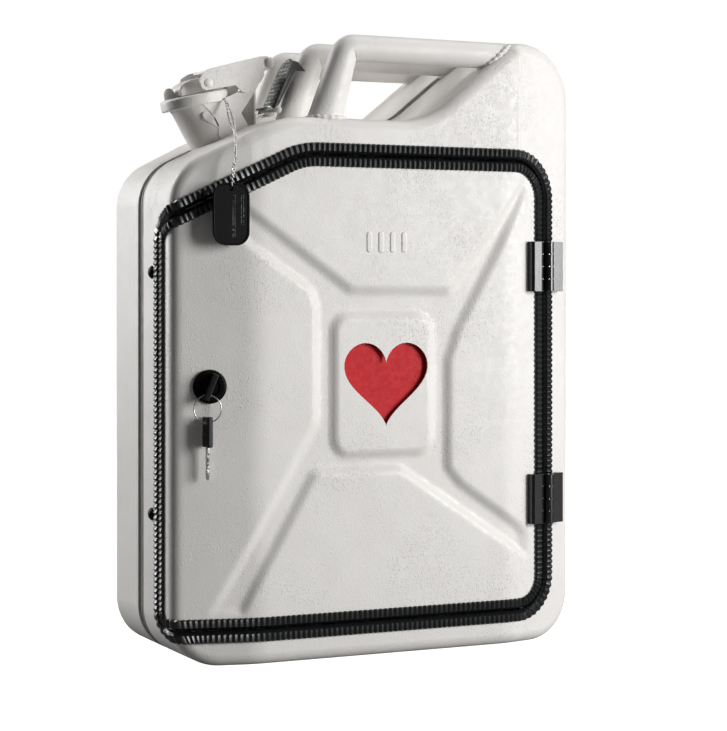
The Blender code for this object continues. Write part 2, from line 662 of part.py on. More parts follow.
def make_arm(mats):
    """The arm: side plates outside the bracket, a web over them and a barrel on the pivot."""
    outer = BRACKET_HALF + PLATE + 0.6 * MM
    plate = [(x * MM, z * MM) for x, z in (
        (-132, 439), (-128, 437.9), (-121, 439.4), (-104, 443.3), (-88, 449), (-74, 457.2),
        (-69.5, 460), (-69.5, 465), (-73, 467.7), (-80, 466.4), (-126, 454.5), (-132, 450.5),
        (-134, 445))]
    near, far = mirrored_plates("cap_arm", plate, outer, mats["white"])
    combine(near, far, "UNION")
    span = outer + PLATE / 2
    web = [(x * MM, z * MM) for x, z in ((-122, 453.4), (-122, 455.4), (-79, 466.5), (-79, 464.6))]
    combine(near, prism("web", web, -span, span), "UNION")
    inner = BRACKET_HALF - 0.6 * MM
    lip = [(x * MM, z * MM) for x, z in ((-82, 463.7), (-82, 465.7), (-74, 467.5), (-74, 462))]
    combine(near, prism("lip", lip, -inner, inner), "UNION")
    combine(near, rod("barrel", ARM_AXIS, (0, 1, 0), 4.6 * MM, 2 * inner, sides=20), "UNION")
    combine(near, rod("bore", ARM_AXIS, (0, 1, 0), 2.3 * MM, 0.1, sides=16), "DIFFERENCE")
    combine(near, rod("bore", BOSS, (0, 1, 0), 2.3 * MM, 0.1, sides=16), "DIFFERENCE")
    smooth(near)
    half = outer + PLATE
    for name, centre in (("arm_pin", ARM_AXIS), ("cap_pin", BOSS)):
        rod(name, centre, (0, 1, 0), 2 * MM, 2 * half + 2 * MM, mats["white"], 16)


def make_bracket(mats):
    """Side plates welded to the neck and the can's top, tied by a cross plate."""
    plate = [(x * MM, z * MM) for x, z in (
        (-118, 396), (-62, 405), (-60.5, 424), (-61, 429), (-66, 431.5), (-70, 445),
        (-69, 459.5), (-69.3, 464.5), (-74, 466.5), (-78.5, 464.5), (-79.6, 458),
        (-98, 436), (-101, 431), (-103.5, 424), (-118, 410))]
    near, far = mirrored_plates("closure_bracket", plate, BRACKET_HALF, mats["white"])
    for side in (near, far):
        combine(side, neck_tube("neck_room", NECK_RADIUS + GAP, True), "DIFFERENCE")
    combine(near, far, "UNION")
    cross = box("cross", (-80 * MM, -BRACKET_HALF - 0.5 * MM, 405 * MM),
                (-78 * MM, BRACKET_HALF + 0.5 * MM, 450 * MM))
    combine(near, cross, "UNION")
    combine(near, can_block("grown", GAP), "DIFFERENCE")
    for centre in (ARM_AXIS, LEVER_AXIS):
        combine(near, rod("bore", centre, (0, 1, 0), 2.3 * MM, 0.1, sides=16), "DIFFERENCE")
    smooth(near)


def make_lever(mats):
    """Dark latch lever: a tapered plate on a rolled knuckle, with a thumb tab at the top."""
    along = (LEVER_TOP - LEVER_AXIS).normalized()
    normal = Vector((along.z, 0, -along.x))
    length = (LEVER_TOP - LEVER_AXIS).length
    outline = [(2 * MM, 12.5 * MM), (length * 0.55, 18 * MM), (length, 22 * MM)]
    ring = [(d, -w) for d, w in outline] + [(d, w) for d, w in reversed(outline)]
    start = LEVER_AXIS + normal * 1.6 * MM
    points = [start + along * d + Vector((0, w, 0)) for d, w in ring]
    lever = slab("latch_lever", points, normal * 2.4 * MM, mats["gunmetal"])
    combine(lever, rod("roll", LEVER_AXIS, (0, 1, 0), 4.2 * MM, 25 * MM, sides=20), "UNION")
    tab = [(x * MM, z * MM) for x, z in ((-55.5, 460), (-52.5, 456), (-38, 462), (-50, 466.5))]
    combine(lever, prism("tab", tab, -22 * MM, -16 * MM), "UNION")
    combine(lever, rod("bore", LEVER_AXIS, (0, 1, 0), 2.3 * MM, 0.1, sides=16), "DIFFERENCE")
    smooth(lever)
    rod("lever_pin", LEVER_AXIS, (0, 1, 0), 2 * MM, 2 * (BRACKET_HALF + PLATE), mats["white"], 16)


def make_tag(mats):
    """Identity tag on a ball chain hooked over the bracket's near plate."""
    half_w, height = TAG_SIZE[0] / 2, TAG_SIZE[1]
    top = TAG_HOLE.z + 4.5 * MM
    corners = [(TAG_HOLE.x - half_w, top - height), (TAG_HOLE.x + half_w, top - height),
               (TAG_HOLE.x + half_w, top), (TAG_HOLE.x - half_w, top)]
    outline = rounded([(x, z, 10.5 * MM) for x, z in corners], 0, 4)
    y = TAG_HOLE.y
    tag = prism("identity_tag", outline, y - TAG_THICK / 2, y + TAG_THICK / 2, mats["black"])
    hole = rod("hole", TAG_HOLE, (0, 1, 0), 2.2 * MM, 10 * MM, sides=12)
    combine(tag, hole, "DIFFERENCE")
    route = [(-113, -25.6, 430), (-112, -30, 424), (-113.5, -42, 414), (-116.5, -56, 407),
             (-120, -68, 402.5), (-122.5, -78, 397.5), (-124.5, -85.5, 390), (-127, -88, 378),
             (-129.3, -87.2, 370), (-129.9, -86.2, 364.2)]
    points = [Vector(p) * MM for p in route]
    tube_mesh("ball_chain", points, [1.2 * MM] * len(points), mats["steel"], 8)


def make_inside(mats):
    """Two shelves, the strike that the cam turns behind, and its screws."""
    left = -WIDTH / 2 + WALL + GAP
    for which, level in SHELF_HEIGHTS.items():
        half = WIDTH / 2 - WALL - 3 * MM
        y_low, y_high = FRONT + 52 * MM, -FRONT - WALL - 22 * MM
        bm = bmesh.new()
        ring = [(-half, y_low), (half, y_low), (half, y_high), (-half, y_high)]
        verts = [bm.verts.new((x, y, level)) for x, y in ring]
        panel = bm.faces.new(verts)
        inset = [e for e in panel.edges if abs(e.verts[0].co.y - e.verts[1].co.y) < 1e-9]
        moved = bmesh.ops.extrude_edge_only(bm, edges=inset)["geom"]
        bmesh.ops.translate(bm, verts=[v for v in moved if isinstance(v, bmesh.types.BMVert)],
                            vec=(0, 0, -14 * MM))
        shelf = add(f"shelf_{which}", bm, mats["white"])
        wall = shelf.modifiers.new("sheet", "SOLIDIFY")
        wall.thickness = 1.2 * MM
        wall.offset = 1
        wall.use_even_offset = True
    plate = box("strike_plate", (left, FRONT + 48.5 * MM, 98 * MM),
                (left + 1.5 * MM, FRONT + 68 * MM, 312 * MM), mats["steel"])
    tongue = [(0, 67), (0, 51), (3.5, 47), (3.5, 35), (15, 35), (15, 36.5), (5, 36.5), (5, 48),
              (1.5, 52), (1.5, 67)]
    points = [(left + x * MM, FRONT + y * MM, LOCK_Z - 15 * MM) for x, y in tongue]
    combine(plate, slab("tongue", points, (0, 0, 30 * MM)), "UNION")
    for level in SCREW_HEIGHTS.values():
        hole = rod("hole", (left, SCREW_Y, level), (1, 0, 0), 2.3 * MM, 20 * MM, sides=16)
        combine(plate, hole, "DIFFERENCE")
    for which, level in SCREW_HEIGHTS.items():
        screw = turned(f"strike_screw_{which}", [
            (0, 3.2 * MM), (2.6 * MM, 2.8 * MM), (4.4 * MM, 1.6 * MM), (5 * MM, GAP),
            (2 * MM, GAP), (2 * MM, -6 * MM), (0, -6 * MM)], mats["black"], 20)
        screw.matrix_world = Matrix.Translation((-WIDTH / 2, SCREW_Y, level)) \
            @ Matrix.Rotation(-math.pi / 2, 4, "Y")


def main():
    clear_scene()
    mats = {
        "white": make_material("white_paint", (0.78, 0.76, 0.73), 0.5, 0),
        "rubber": make_material("black_rubber", (0.012, 0.013, 0.014), 0.5, 0),
        "hinge": make_material("black_hinge", (0.03, 0.03, 0.03), 0.3, 0.6),
        "black": make_material("black_moulding", (0.01, 0.01, 0.01), 0.4, 0),
        "steel": make_material("bright_steel", (0.6, 0.6, 0.6), 0.25, 1),
        "gunmetal": make_material("dark_steel", (0.15, 0.16, 0.15), 0.4, 1),
        "red": make_material("red_insert", (0.55, 0.02, 0.03), 0.6, 0),
    }
    make_can(mats)
    make_trims(mats)
    make_door(mats)
    make_lock(mats)
    make_hinges(mats)
    make_handles(mats)
    make_spout(mats)
    make_tag(mats)
    make_inside(mats)


main()
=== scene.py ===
# %% [markdown]
# # A jerry can first aid cabinet
# A pressed steel 20 litre can, painted warm white, whose front is cut out and hung as a door.
# The CAD frame gives every place and every joint; this file makes the surfaces, one piece at a
# time, and tells each piece which body it rides on.

# %% Load the frame
import json
import math
import random

import bmesh
import bpy
import numpy as np
from mathutils import Matrix, Vector, noise


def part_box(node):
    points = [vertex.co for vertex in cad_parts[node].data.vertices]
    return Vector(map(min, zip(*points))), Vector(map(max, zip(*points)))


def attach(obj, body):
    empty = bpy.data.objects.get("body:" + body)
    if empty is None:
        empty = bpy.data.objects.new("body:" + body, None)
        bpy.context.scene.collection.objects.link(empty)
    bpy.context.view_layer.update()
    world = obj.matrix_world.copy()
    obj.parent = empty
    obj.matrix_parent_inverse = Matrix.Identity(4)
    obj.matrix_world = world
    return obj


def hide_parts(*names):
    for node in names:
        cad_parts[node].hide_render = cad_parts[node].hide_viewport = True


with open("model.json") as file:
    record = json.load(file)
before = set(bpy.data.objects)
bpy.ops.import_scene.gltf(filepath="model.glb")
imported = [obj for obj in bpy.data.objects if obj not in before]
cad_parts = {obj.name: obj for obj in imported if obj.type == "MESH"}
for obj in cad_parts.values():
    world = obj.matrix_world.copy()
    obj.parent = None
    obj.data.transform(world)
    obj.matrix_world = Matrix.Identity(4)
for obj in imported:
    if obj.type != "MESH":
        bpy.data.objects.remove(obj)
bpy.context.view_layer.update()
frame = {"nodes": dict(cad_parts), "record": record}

MM = 0.001
can_low, can_high = Vector(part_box("front_frame")[0]), Vector(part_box("rear_shell")[1])
print("can, mm:", [round(v / MM, 1) for v in can_high - can_low])

# %% [markdown]
# ## Camera, light and floor
# A product picture of this kind has long-lens perspective with the verticals kept parallel, so
# the camera is level and its frame is shifted instead of tilted. A broad light at the right
# front shapes the pressings, a strip behind the left shoulder picks out the side wall, and a
# wide one overhead fills in. The small card is there to be mirrored in the upper hinge.

# %% Camera and lights
scene = bpy.context.scene
VIEW_TURN = math.radians(25.4)
CAMERA_PLACE = Vector((-0.6950, -1.5038, 0.2795))

camera_data = bpy.data.cameras.new("camera")
camera_data.lens = 100.4
camera_data.shift_x = -0.0014
camera_data.shift_y = -0.0964
camera = bpy.data.objects.new("camera", camera_data)
camera.location = CAMERA_PLACE
camera.rotation_euler = (math.radians(90), 0, -VIEW_TURN)
scene.collection.objects.link(camera)
scene.camera = camera
scene.view_settings.view_transform = "Standard"


def softbox(name, place, target, width, height, power):
    data = bpy.data.lights.new(name, "AREA")
    data.shape = "RECTANGLE"
    data.size = width
    data.size_y = height
    data.energy = power
    lamp = bpy.data.objects.new(name, data)
    lamp.location = place
    lamp.rotation_euler = (Vector(target) - Vector(place)).to_track_quat("-Z", "Y").to_euler()
    scene.collection.objects.link(lamp)


softbox("key", (1.62, -1.90, 0.66), (0, 0, 0.22), 1.0, 1.3, 60)
softbox("left_strip", (-1.05, 1.25, 0.80), (-0.17, 0, 0.35), 0.5, 1.2, 27)
softbox("hinge_card", (1.165, -0.72, 0.35), (0.145, -0.09, 0.31), 0.2, 0.24, 1.5)
softbox("top", (0.2, 0.1, 2.1), (0, 0, 0), 1.6, 1.2, 16)

world = bpy.data.worlds.new("studio")
world.use_nodes = True
world_nodes = world.node_tree
sky = world_nodes.nodes["Background"]
sky.inputs["Color"].default_value = (1, 1, 1, 1)
ray = world_nodes.nodes.new("ShaderNodeLightPath")
level = world_nodes.nodes.new("ShaderNodeMapRange")
level.inputs["To Min"].default_value = 0.035
level.inputs["To Max"].default_value = 1.0
world_nodes.links.new(ray.outputs["Is Camera Ray"], level.inputs["Value"])
world_nodes.links.new(level.outputs["Result"], sky.inputs["Strength"])
scene.world = world

# %% [markdown]
# ## Finishes
# Every finish is a node material on Object coordinates, which are metres here, so a noise scale
# of 400 means a grain of about 2.5 mm. One small helper adds a noise, a ramp or a bump, and each
# finish is then a short list of what the real surface shows.

# %% Node helpers
class Finish:
    """A Principled material with helpers that add and join its nodes."""

    def __init__(self, name, colour, roughness, metallic=0.0):
        self.material = bpy.data.materials.new(name)
        self.material.use_nodes = True
        self.tree = self.material.node_tree
        self.shader = self.tree.nodes["Principled BSDF"]
        self.shader.inputs["Metallic"].default_value = metallic
        self.shader.inputs["Base Color"].default_value = (*colour, 1)
        self.shader.inputs["Roughness"].default_value = roughness
        self.place = self.node("ShaderNodeTexCoord").outputs["Object"]

    def node(self, kind, **values):
        made = self.tree.nodes.new(kind)
        for key, value in values.items():
            if key in made.inputs:
                made.inputs[key].default_value = value
            else:
                setattr(made, key, value)
        return made

    def join(self, out, into):
        self.tree.links.new(out, into)

    def noise(self, scale, detail=3.0, rough=0.5, place=None):
        made = self.node("ShaderNodeTexNoise", Scale=scale, Detail=detail, Roughness=rough)
        self.join(place or self.place, made.inputs["Vector"])
        return made.outputs["Fac"]

    def spread(self, value, low, high, to_low=0.0, to_high=1.0):
        made = self.node("ShaderNodeMapRange")
        for key, number in (("From Min", low), ("From Max", high), ("To Min", to_low),
                            ("To Max", to_high)):
            made.inputs[key].default_value = number
        made.interpolation_type = "SMOOTHSTEP"
        self.join(value, made.inputs["Value"])
        return made.outputs["Result"]

    def maths(self, what, a, b):
        made = self.node("ShaderNodeMath", operation=what)
        for socket, value in zip(made.inputs, (a, b)):
            if isinstance(value, (int, float)):
                socket.default_value = value
            else:
                self.join(value, socket)
        return made.outputs[0]

    def colours(self, value, low, high):
        made = self.node("ShaderNodeMix", data_type="RGBA")
        self.join(value, made.inputs["Factor"])
        made.inputs["A"].default_value = (*low, 1)
        made.inputs["B"].default_value = (*high, 1)
        self.join(made.outputs["Result"], self.shader.inputs["Base Color"])

    def rough(self, value, low, high):
        self.join(self.spread(value, 0.3, 0.7, low, high), self.shader.inputs["Roughness"])

    def bump(self, value, height, under=None):
        made = self.node("ShaderNodeBump", Distance=height)
        self.join(value, made.inputs["Height"])
        if under:
            self.join(under, made.inputs["Normal"])
        self.join(made.outputs["Normal"], self.shader.inputs["Normal"])
        return made.outputs["Normal"]


# %% [markdown]
# ### White powder coat
# Powder coat over old steel is never flat: it has a fine orange peel all over, a shallow wave
# from the sheet, and patches of sandy pitting where the steel was rusty. The patches are one
# slow noise that turns a fine, high-contrast noise up and down. The seam takes the same coat
# at 0.45 of its colour, which is painted shade for its sunk band.

# %% White paint
def white_paint(name, tone):
    look = Finish(name, [tone * c for c in (0.80, 0.78, 0.755)], 0.46)
    peel = look.noise(640, 2.0)
    wave = look.noise(30, 1.0)
    patches = look.spread(look.noise(13, 2.0), 0.42, 0.68, 0.22, 0.85)
    pits = look.spread(look.noise(760, 2.0, 0.6), 0.55, 0.72)
    sand = look.maths("MULTIPLY", pits, patches)
    look.colours(look.noise(24, 3.0), [tone * c for c in (0.76, 0.735, 0.705)],
                 [tone * c for c in (0.83, 0.81, 0.785)])
    look.rough(look.noise(160, 3.0), 0.38, 0.54)
    first = look.bump(wave, 0.0005)
    second = look.bump(peel, 0.00009, first)
    look.bump(sand, 0.00027, second)
    return look.material


PAINT = white_paint("white_powder_coat", 1.0)
# The seam's coat is the white coat at 0.45 of its colour: painted shade for the sunk band.
SEAM_SHADE_PAINT = white_paint("thin_white_coat_in_the_seam", 0.45)

# %% [markdown]
# ### Black parts
# Four blacks that differ mostly in gloss: satin rubber, glossy hinge enamel, dull metal for the
# tag, the lock and the side screws, and moulded plastic for the key heads.

# %% Black finishes
def black_finish(name, colour, roughness, grain, height, gloss):
    look = Finish(name, colour, roughness)
    fine = look.noise(grain, 3.0)
    look.colours(look.noise(grain / 9, 2.0), colour, [c * 1.3 + 0.001 for c in colour])
    look.rough(look.noise(grain, 2.0), roughness * 0.9, roughness * 1.12)
    look.shader.inputs["Specular IOR Level"].default_value = gloss
    look.bump(fine, height)
    return look.material


RUBBER = black_finish("black_edging_rubber", (0.007, 0.008, 0.009), 0.31, 1500, 0.00006, 0.7)
HINGE_BLACK = black_finish("black_hinge_enamel", (0.012, 0.012, 0.012), 0.17, 700, 0.000002, 0.7)
TAG_BLACK = black_finish("black_satin_metal", (0.005, 0.005, 0.005), 0.36, 1100, 0.00002, 0.06)
KEY_BLACK = black_finish("black_moulded_plastic", (0.008, 0.008, 0.009), 0.42, 1300, 0.00004, 0.35)

# %% [markdown]
# ### Steel and the red insert
# Bright plating has fine drawn lines, which are a noise stretched along one axis. The latch
# lever is blackened steel with a coarser grain.

# %% Steel and red
def drawn_steel(name, colour, roughness, stretch):
    look = Finish(name, colour, roughness, 1.0)
    mapping = look.node("ShaderNodeMapping")
    look.join(look.place, mapping.inputs["Vector"])
    mapping.inputs["Scale"].default_value = stretch
    lines = look.noise(1.0, 4.0, 0.6, mapping.outputs["Vector"])
    look.colours(look.noise(90, 2.0), [c * 0.82 for c in colour], colour)
    look.rough(lines, roughness - 0.08, roughness + 0.12)
    look.bump(lines, 0.00003)
    return look.material


STEEL = drawn_steel("bright_plated_steel", (0.66, 0.65, 0.63), 0.24, (2200, 2200, 260))
DARK_STEEL = drawn_steel("blackened_steel", (0.052, 0.056, 0.053), 0.42, (500, 2600, 500))


def red_paint():
    look = Finish("red_insert_paint", (0.58, 0.010, 0.016), 0.5)
    look.shader.inputs["Specular IOR Level"].default_value = 0.2
    grit = look.spread(look.noise(620, 3.0, 0.6), 0.55, 0.72)
    look.colours(look.noise(70, 3.0), (0.52, 0.009, 0.014), (0.62, 0.012, 0.019))
    look.rough(look.noise(240, 2.0), 0.42, 0.6)
    look.bump(grit, 0.0001)
    return look.material


RED = red_paint()

# %% [markdown]
# ### The floor
# The floor is bright where it is looked at and only a weak reflector of light onto the can.
# `as_object` is how every mesh in this file gets into the scene.

# %% Floor
def as_object(name, bm):
    """A new object in the scene made from a mesh, which is used up."""
    data = bpy.data.meshes.new(name)
    bm.to_mesh(data)
    bm.free()
    made = bpy.data.objects.new(name, data)
    scene.collection.objects.link(made)
    return made


pale = Finish("pale_floor", (0.9, 0.9, 0.9), 0.8)
seen = pale.node("ShaderNodeLightPath").outputs["Is Camera Ray"]
pale.colours(seen, (0.16, 0.16, 0.16), (0.92, 0.92, 0.92))
pale.shader.inputs["Emission Color"].default_value = (1, 1, 1, 1)
pale.join(pale.spread(seen, 0, 1, 0, 1.0), pale.shader.inputs["Emission Strength"])
pale.bump(pale.noise(300, 2.0), 0.0001)

floor_mesh = bmesh.new()
bmesh.ops.create_grid(floor_mesh, x_segments=2, y_segments=2, size=6)
floor = as_object("floor", floor_mesh)
floor.data.materials.append(pale.material)

# %% [markdown]
# ## The can's own surface
# The door, the edging and the cut in the can all follow one curved front: a flat middle, a
# facet on each side and a tight rounding into the side wall. It is laid out flat, with s along
# the section and z up, and `skin` turns a flat place and a lift into a place in space. The bend
# between flat and facet is a soft one, as deep-drawn steel makes it.

# %% The front as a developed surface
WIDTH, HEIGHT = (can_high - can_low).xz
FRONT = can_low.y
WALL = 1.2 * MM
CREASE = 109.4 * MM
CREASE_EASE = 9 * MM
FACET_DROP = 15.5 * MM
FACET = math.atan2(FACET_DROP, WIDTH / 2 - CREASE)
EDGE_RADIUS = 10 * MM
TURN = math.pi / 2 - FACET
EDGE_TANGENT = EDGE_RADIUS * math.tan(TURN / 2)
FACET_RUN = (WIDTH / 2 - CREASE) / math.cos(FACET) - EDGE_TANGENT
ARC_START = CREASE + FACET_RUN
ARC_END = ARC_START + EDGE_RADIUS * TURN
SIDE_START = FACET_DROP + EDGE_TANGENT
FOOT_RADIUS = 38 * MM
FOOT_EASE = 20 * MM


def foot_tuck(z):
    """How far the can's side has curved in at a height near the bottom."""
    rise = max(FOOT_RADIUS - z, 0)
    return FOOT_RADIUS - math.sqrt(FOOT_RADIUS ** 2 - rise ** 2)


def skin(s, z, lift):
    away = abs(s) - CREASE
    side = 1 if s > 0 else -1
    if away <= -CREASE_EASE:
        return Vector((s, FRONT - lift, z))
    if away <= CREASE_EASE:
        angle = FACET * (away + CREASE_EASE) / (2 * CREASE_EASE)
        bend = CREASE_EASE / math.tan(FACET / 2)
        base = Vector((CREASE - CREASE_EASE + bend * math.sin(angle), bend * (1 - math.cos(angle))))
    elif away <= FACET_RUN:
        angle = FACET
        base = Vector((CREASE, 0)) + Vector((math.cos(FACET), math.sin(FACET))) * away
    else:
        angle = FACET + min((abs(s) - ARC_START) / EDGE_RADIUS, TURN)
        centre = Vector((WIDTH / 2 - EDGE_RADIUS, SIDE_START))
        base = centre + Vector((math.sin(angle), -math.cos(angle))) * EDGE_RADIUS
        base.y += max(abs(s) - ARC_END, 0)
    tuck = foot_tuck(z) * min(max((away - FACET_RUN) / FOOT_EASE + 1, 0), 1)
    base -= Vector((1, math.tan(FACET))) * tuck
    place = base + Vector((math.sin(angle), -math.cos(angle))) * lift
    return Vector((side * place.x, FRONT + place.y, z))


def rounded(corners, grow=0.0, steps=12):
    """A counter-clockwise polygon of (x, z, radius) moved out by grow, its corners rounded."""
    count = len(corners)
    flat = [Vector(c[:2]) for c in corners]
    lines = []
    for i in range(count):
        along = (flat[(i + 1) % count] - flat[i]).normalized()
        lines.append((flat[i] + Vector((along.y, -along.x)) * grow, along))
    points = []
    for i in range(count):
        (a, da), (b, db) = lines[i - 1], lines[i]
        cross = da.x * db.y - da.y * db.x
        corner = a + da * ((b - a).x * db.y - (b - a).y * db.x) / cross
        if corners[i][2] == 0:
            points.append(corner)
            continue
        side = 1 if cross > 0 else -1
        radius = corners[i][2] + side * grow
        turn = math.atan2(abs(cross), da.dot(db))
        start = corner - da * radius * math.tan(turn / 2)
        centre = start + Vector((-da.y, da.x)) * radius * side
        for k in range(steps + 1):
            points.append(centre + Matrix.Rotation(side * turn * k / steps, 2) @ (start - centre))
    return points


# %% Finish a piece
SLOTS = {PAINT: "white_paint", SEAM_SHADE_PAINT: "white_paint", RUBBER: "black_rubber",
         HINGE_BLACK: "black_hinge", TAG_BLACK: "black_metal", KEY_BLACK: "black_plastic",
         STEEL: "bright_steel", DARK_STEEL: "dark_steel", RED: "red_insert"}


def piece(name, bm, finish, body, nodes=(), sharp=38, recalc=True):
    if recalc:
        bmesh.ops.recalc_face_normals(bm, faces=bm.faces)
    made = as_object(name, bm)
    made.data.materials.append(finish)
    made.data.shade_smooth()
    made.data.set_sharp_from_angle(angle=math.radians(sharp))
    made.modifiers.new("flat_faces_stay_flat", "WEIGHTED_NORMAL").keep_sharp = True
    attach(made, body)
    if nodes:
        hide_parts(*nodes)
    return made


def cutter(name, bm):
    """A closed mesh used only to cut another."""
    bmesh.ops.recalc_face_normals(bm, faces=bm.faces)
    return as_object(name, bm)


def cut(bm, tools, solver="EXACT", wall=0.0):
    """The mesh, given a wall if asked, with the tools taken out of it; the tools are used up."""
    body = cutter("blank", bm)
    if wall:
        sheet = body.modifiers.new("wall", "SOLIDIFY")
        sheet.thickness = wall
        sheet.offset = -1
        sheet.use_even_offset = True
    for tool in tools:
        mod = body.modifiers.new("cut", "BOOLEAN")
        mod.object = tool
        mod.solver = solver
    graph = bpy.context.evaluated_depsgraph_get()
    out = bmesh.new()
    out.from_mesh(body.evaluated_get(graph).to_mesh())
    for used in [body, *tools]:
        bpy.data.objects.remove(used, do_unlink=True)
    return out


def ring_edges(bm, points):
    verts = [bm.verts.new(p) for p in points]
    return [bm.edges.new((a, b)) for a, b in zip(verts, verts[1:] + verts[:1])]


def loft(rings, closed=False):
    """A skin over rings that follow one another, each with the same number of points."""
    bm = bmesh.new()
    loops = [ring_edges(bm, ring) for ring in rings]
    for a, b in zip(loops, loops[1:] + (loops[:1] if closed else [])):
        bmesh.ops.bridge_loops(bm, edges=a + b)
    if not closed:
        for loop in (loops[0], loops[-1]):
            bmesh.ops.edgeloop_fill(bm, edges=loop)
    return bm


def slab(points, along):
    """A flat outline given thickness along a direction."""
    bm = bmesh.new()
    face = bm.faces.new([bm.verts.new(p) for p in points])
    moved = bmesh.ops.extrude_face_region(bm, geom=[face])["geom"]
    verts = [v for v in moved if isinstance(v, bmesh.types.BMVert)]
    bmesh.ops.translate(bm, verts=verts, vec=along)
    return bm


def edges_over(bm, angle):
    limit = math.radians(angle)
    return [e for e in bm.edges if len(e.link_faces) == 2 and e.calc_face_angle(0) > limit]


def soften(bm, width, segments=2, angle=30):
    """Round every edge that is sharper than the angle."""
    bmesh.ops.bevel(bm, geom=edges_over(bm, angle), offset=width, segments=segments,
                    profile=0.5, affect="EDGES", material=-1, clamp_overlap=True)


def turned(profile, steps=48):
    """A turned piece about Z; profile points are (radius, height)."""
    bm = bmesh.new()
    verts = [bm.verts.new((r, 0, z)) for r, z in profile]
    edges = [bm.edges.new(pair) for pair in zip(verts, verts[1:])]
    bmesh.ops.spin(bm, geom=verts + edges, axis=(0, 0, 1), cent=(0, 0, 0), steps=steps,
                   angle=2 * math.pi, use_merge=True)
    bmesh.ops.remove_doubles(bm, verts=bm.verts, dist=1e-6)
    return bm


def turned_mm(line, steps=56):
    return turned([(r * MM, z * MM) for r, z in line], steps)


def rod(radius, length, segments):
    """A plain cylinder about Z."""
    bm = bmesh.new()
    bmesh.ops.create_cone(bm, cap_ends=True, segments=segments, radius1=radius, radius2=radius,
                          depth=length)
    return bm


def add_cube(bm, matrix):
    """Add a unit cube, stretched and placed by a matrix."""
    verts = bmesh.ops.create_cube(bm, size=1)["verts"]
    bmesh.ops.transform(bm, verts=verts, matrix=matrix)


def add_mesh(bm, other):
    data = bpy.data.meshes.new("added")
    other.to_mesh(data)
    bm.from_mesh(data)


def placed(bm, matrix):
    bmesh.ops.transform(bm, matrix=matrix, verts=bm.verts)
    return bm


def rectangle(low, high, radius):
    """The corners `rounded` asks for; low and high are (x, z)."""
    return [(x, z, radius) for x, z in (low, (high[0], low[1]), high, (low[0], high[1]))]


FACE_FRONT = Matrix.Rotation(math.pi / 2, 4, "X")       # turns Z to point out of the front


# %% [markdown]
# ## The two pressings
# The can is two deep pressings that meet at a seam half way back. Each is made as a draw would
# leave it: the flat outline cut at the creases and sloped back onto the facets with a soft bend,
# the rim rounded in steps back to the seam, and the sheet given its wall.

# %% Pressings
HUMP_TOP = HEIGHT - 1.6 * MM
HUMP_START = 35 * MM            # x where the top turns up to the hump
HUMP_RUN = 81 * MM              # length of the slope up to it
CAN_TOP = 416 * MM              # the level top under the handles
CAN_CORNERS = [
    (-WIDTH / 2, 0.0, FOOT_RADIUS), (WIDTH / 2, 0.0, FOOT_RADIUS), (WIDTH / 2, HUMP_TOP, 46 * MM),
    (116 * MM, HUMP_TOP, 20 * MM), (HUMP_START, CAN_TOP, 64 * MM), (-84.5 * MM, CAN_TOP, 70 * MM),
    (-WIDTH / 2, 373 * MM, 40 * MM),
]
RIM_STEPS = 10


def front_drop(x):
    """How far the front has fallen back at x, with a soft bend at the crease."""
    away = abs(x) - CREASE
    if away < -CREASE_EASE:
        return 0.0
    if away < CREASE_EASE:
        return math.tan(FACET) * (away + CREASE_EASE) ** 2 / (4 * CREASE_EASE)
    return away * math.tan(FACET)


def outward(vert):
    """The flat outline's outward direction at one of its points."""
    total = Vector((0, 0, 0))
    for edge in vert.link_edges:
        if edge.is_boundary:
            loop = edge.link_loops[0]
            along = loop.link_loop_next.vert.co - loop.vert.co
            total += along.normalized().cross(loop.face.normal)
    return total.normalized()


def grow_rim(bm, rim):
    """Extrude the open edges; returns {old vertex: new vertex}."""
    edges = [e for e in bm.edges if e.is_boundary]
    moved = bmesh.ops.extrude_edge_only(bm, edges=edges)["geom"]
    pairs = {}
    for v in moved:
        if isinstance(v, bmesh.types.BMVert):
            old = next(e.other_vert(v) for e in v.link_edges if e.other_vert(v) in rim)
            pairs[old] = v
    return pairs


def pressing(rim_end):
    """The front pressing as an open sheet: a flat outline with a rounded rim and a deep side."""
    bm = bmesh.new()
    bm.faces.new([bm.verts.new((p.x, 0, p.y)) for p in rounded(CAN_CORNERS, 0, 16)])
    bends = [side * (CREASE + CREASE_EASE * k / 4) for side in (-1, 1) for k in range(-4, 5)]
    for bend in bends:
        bmesh.ops.bisect_plane(bm, geom=bm.verts[:] + bm.edges[:] + bm.faces[:], dist=1e-6,
                               plane_co=(bend, 0, 0), plane_no=(1, 0, 0))
    bm.normal_update()
    rim = {v: (v.co.copy(), outward(v)) for v in bm.verts if v.is_boundary}
    for step in range(RIM_STEPS + 1):
        for v, (place, normal) in rim.items():
            eased = min(max((abs(place.x) - CREASE) / CREASE_EASE, 0), 1)
            slope = math.atan(math.tan(FACET) * abs(normal.x)) * eased
            angle = slope + (math.pi / 2 - slope) * step / RIM_STEPS
            reach = EDGE_RADIUS * math.tan((math.pi / 2 - slope) / 2)
            inset = EDGE_RADIUS * (1 - math.sin(angle))
            v.co = place - normal * inset
            v.co.y = FRONT + front_drop(place.x) + reach - EDGE_RADIUS * math.cos(angle)
        pairs = grow_rim(bm, rim)
        rim = {new: rim[old] for old, new in pairs.items()}
    for v in rim:
        v.co.y = rim_end
    bmesh.ops.recalc_face_normals(bm, faces=bm.faces)
    if sum(f.normal.y * f.calc_area() for f in bm.faces) > 0:
        bmesh.ops.reverse_faces(bm, faces=bm.faces)
    return bm


# %% [markdown]
# ### The opening
# The door's line is laid flat, cut into cells and curved onto the skin. A closed plate made that
# way takes the door's place out of the front pressing.

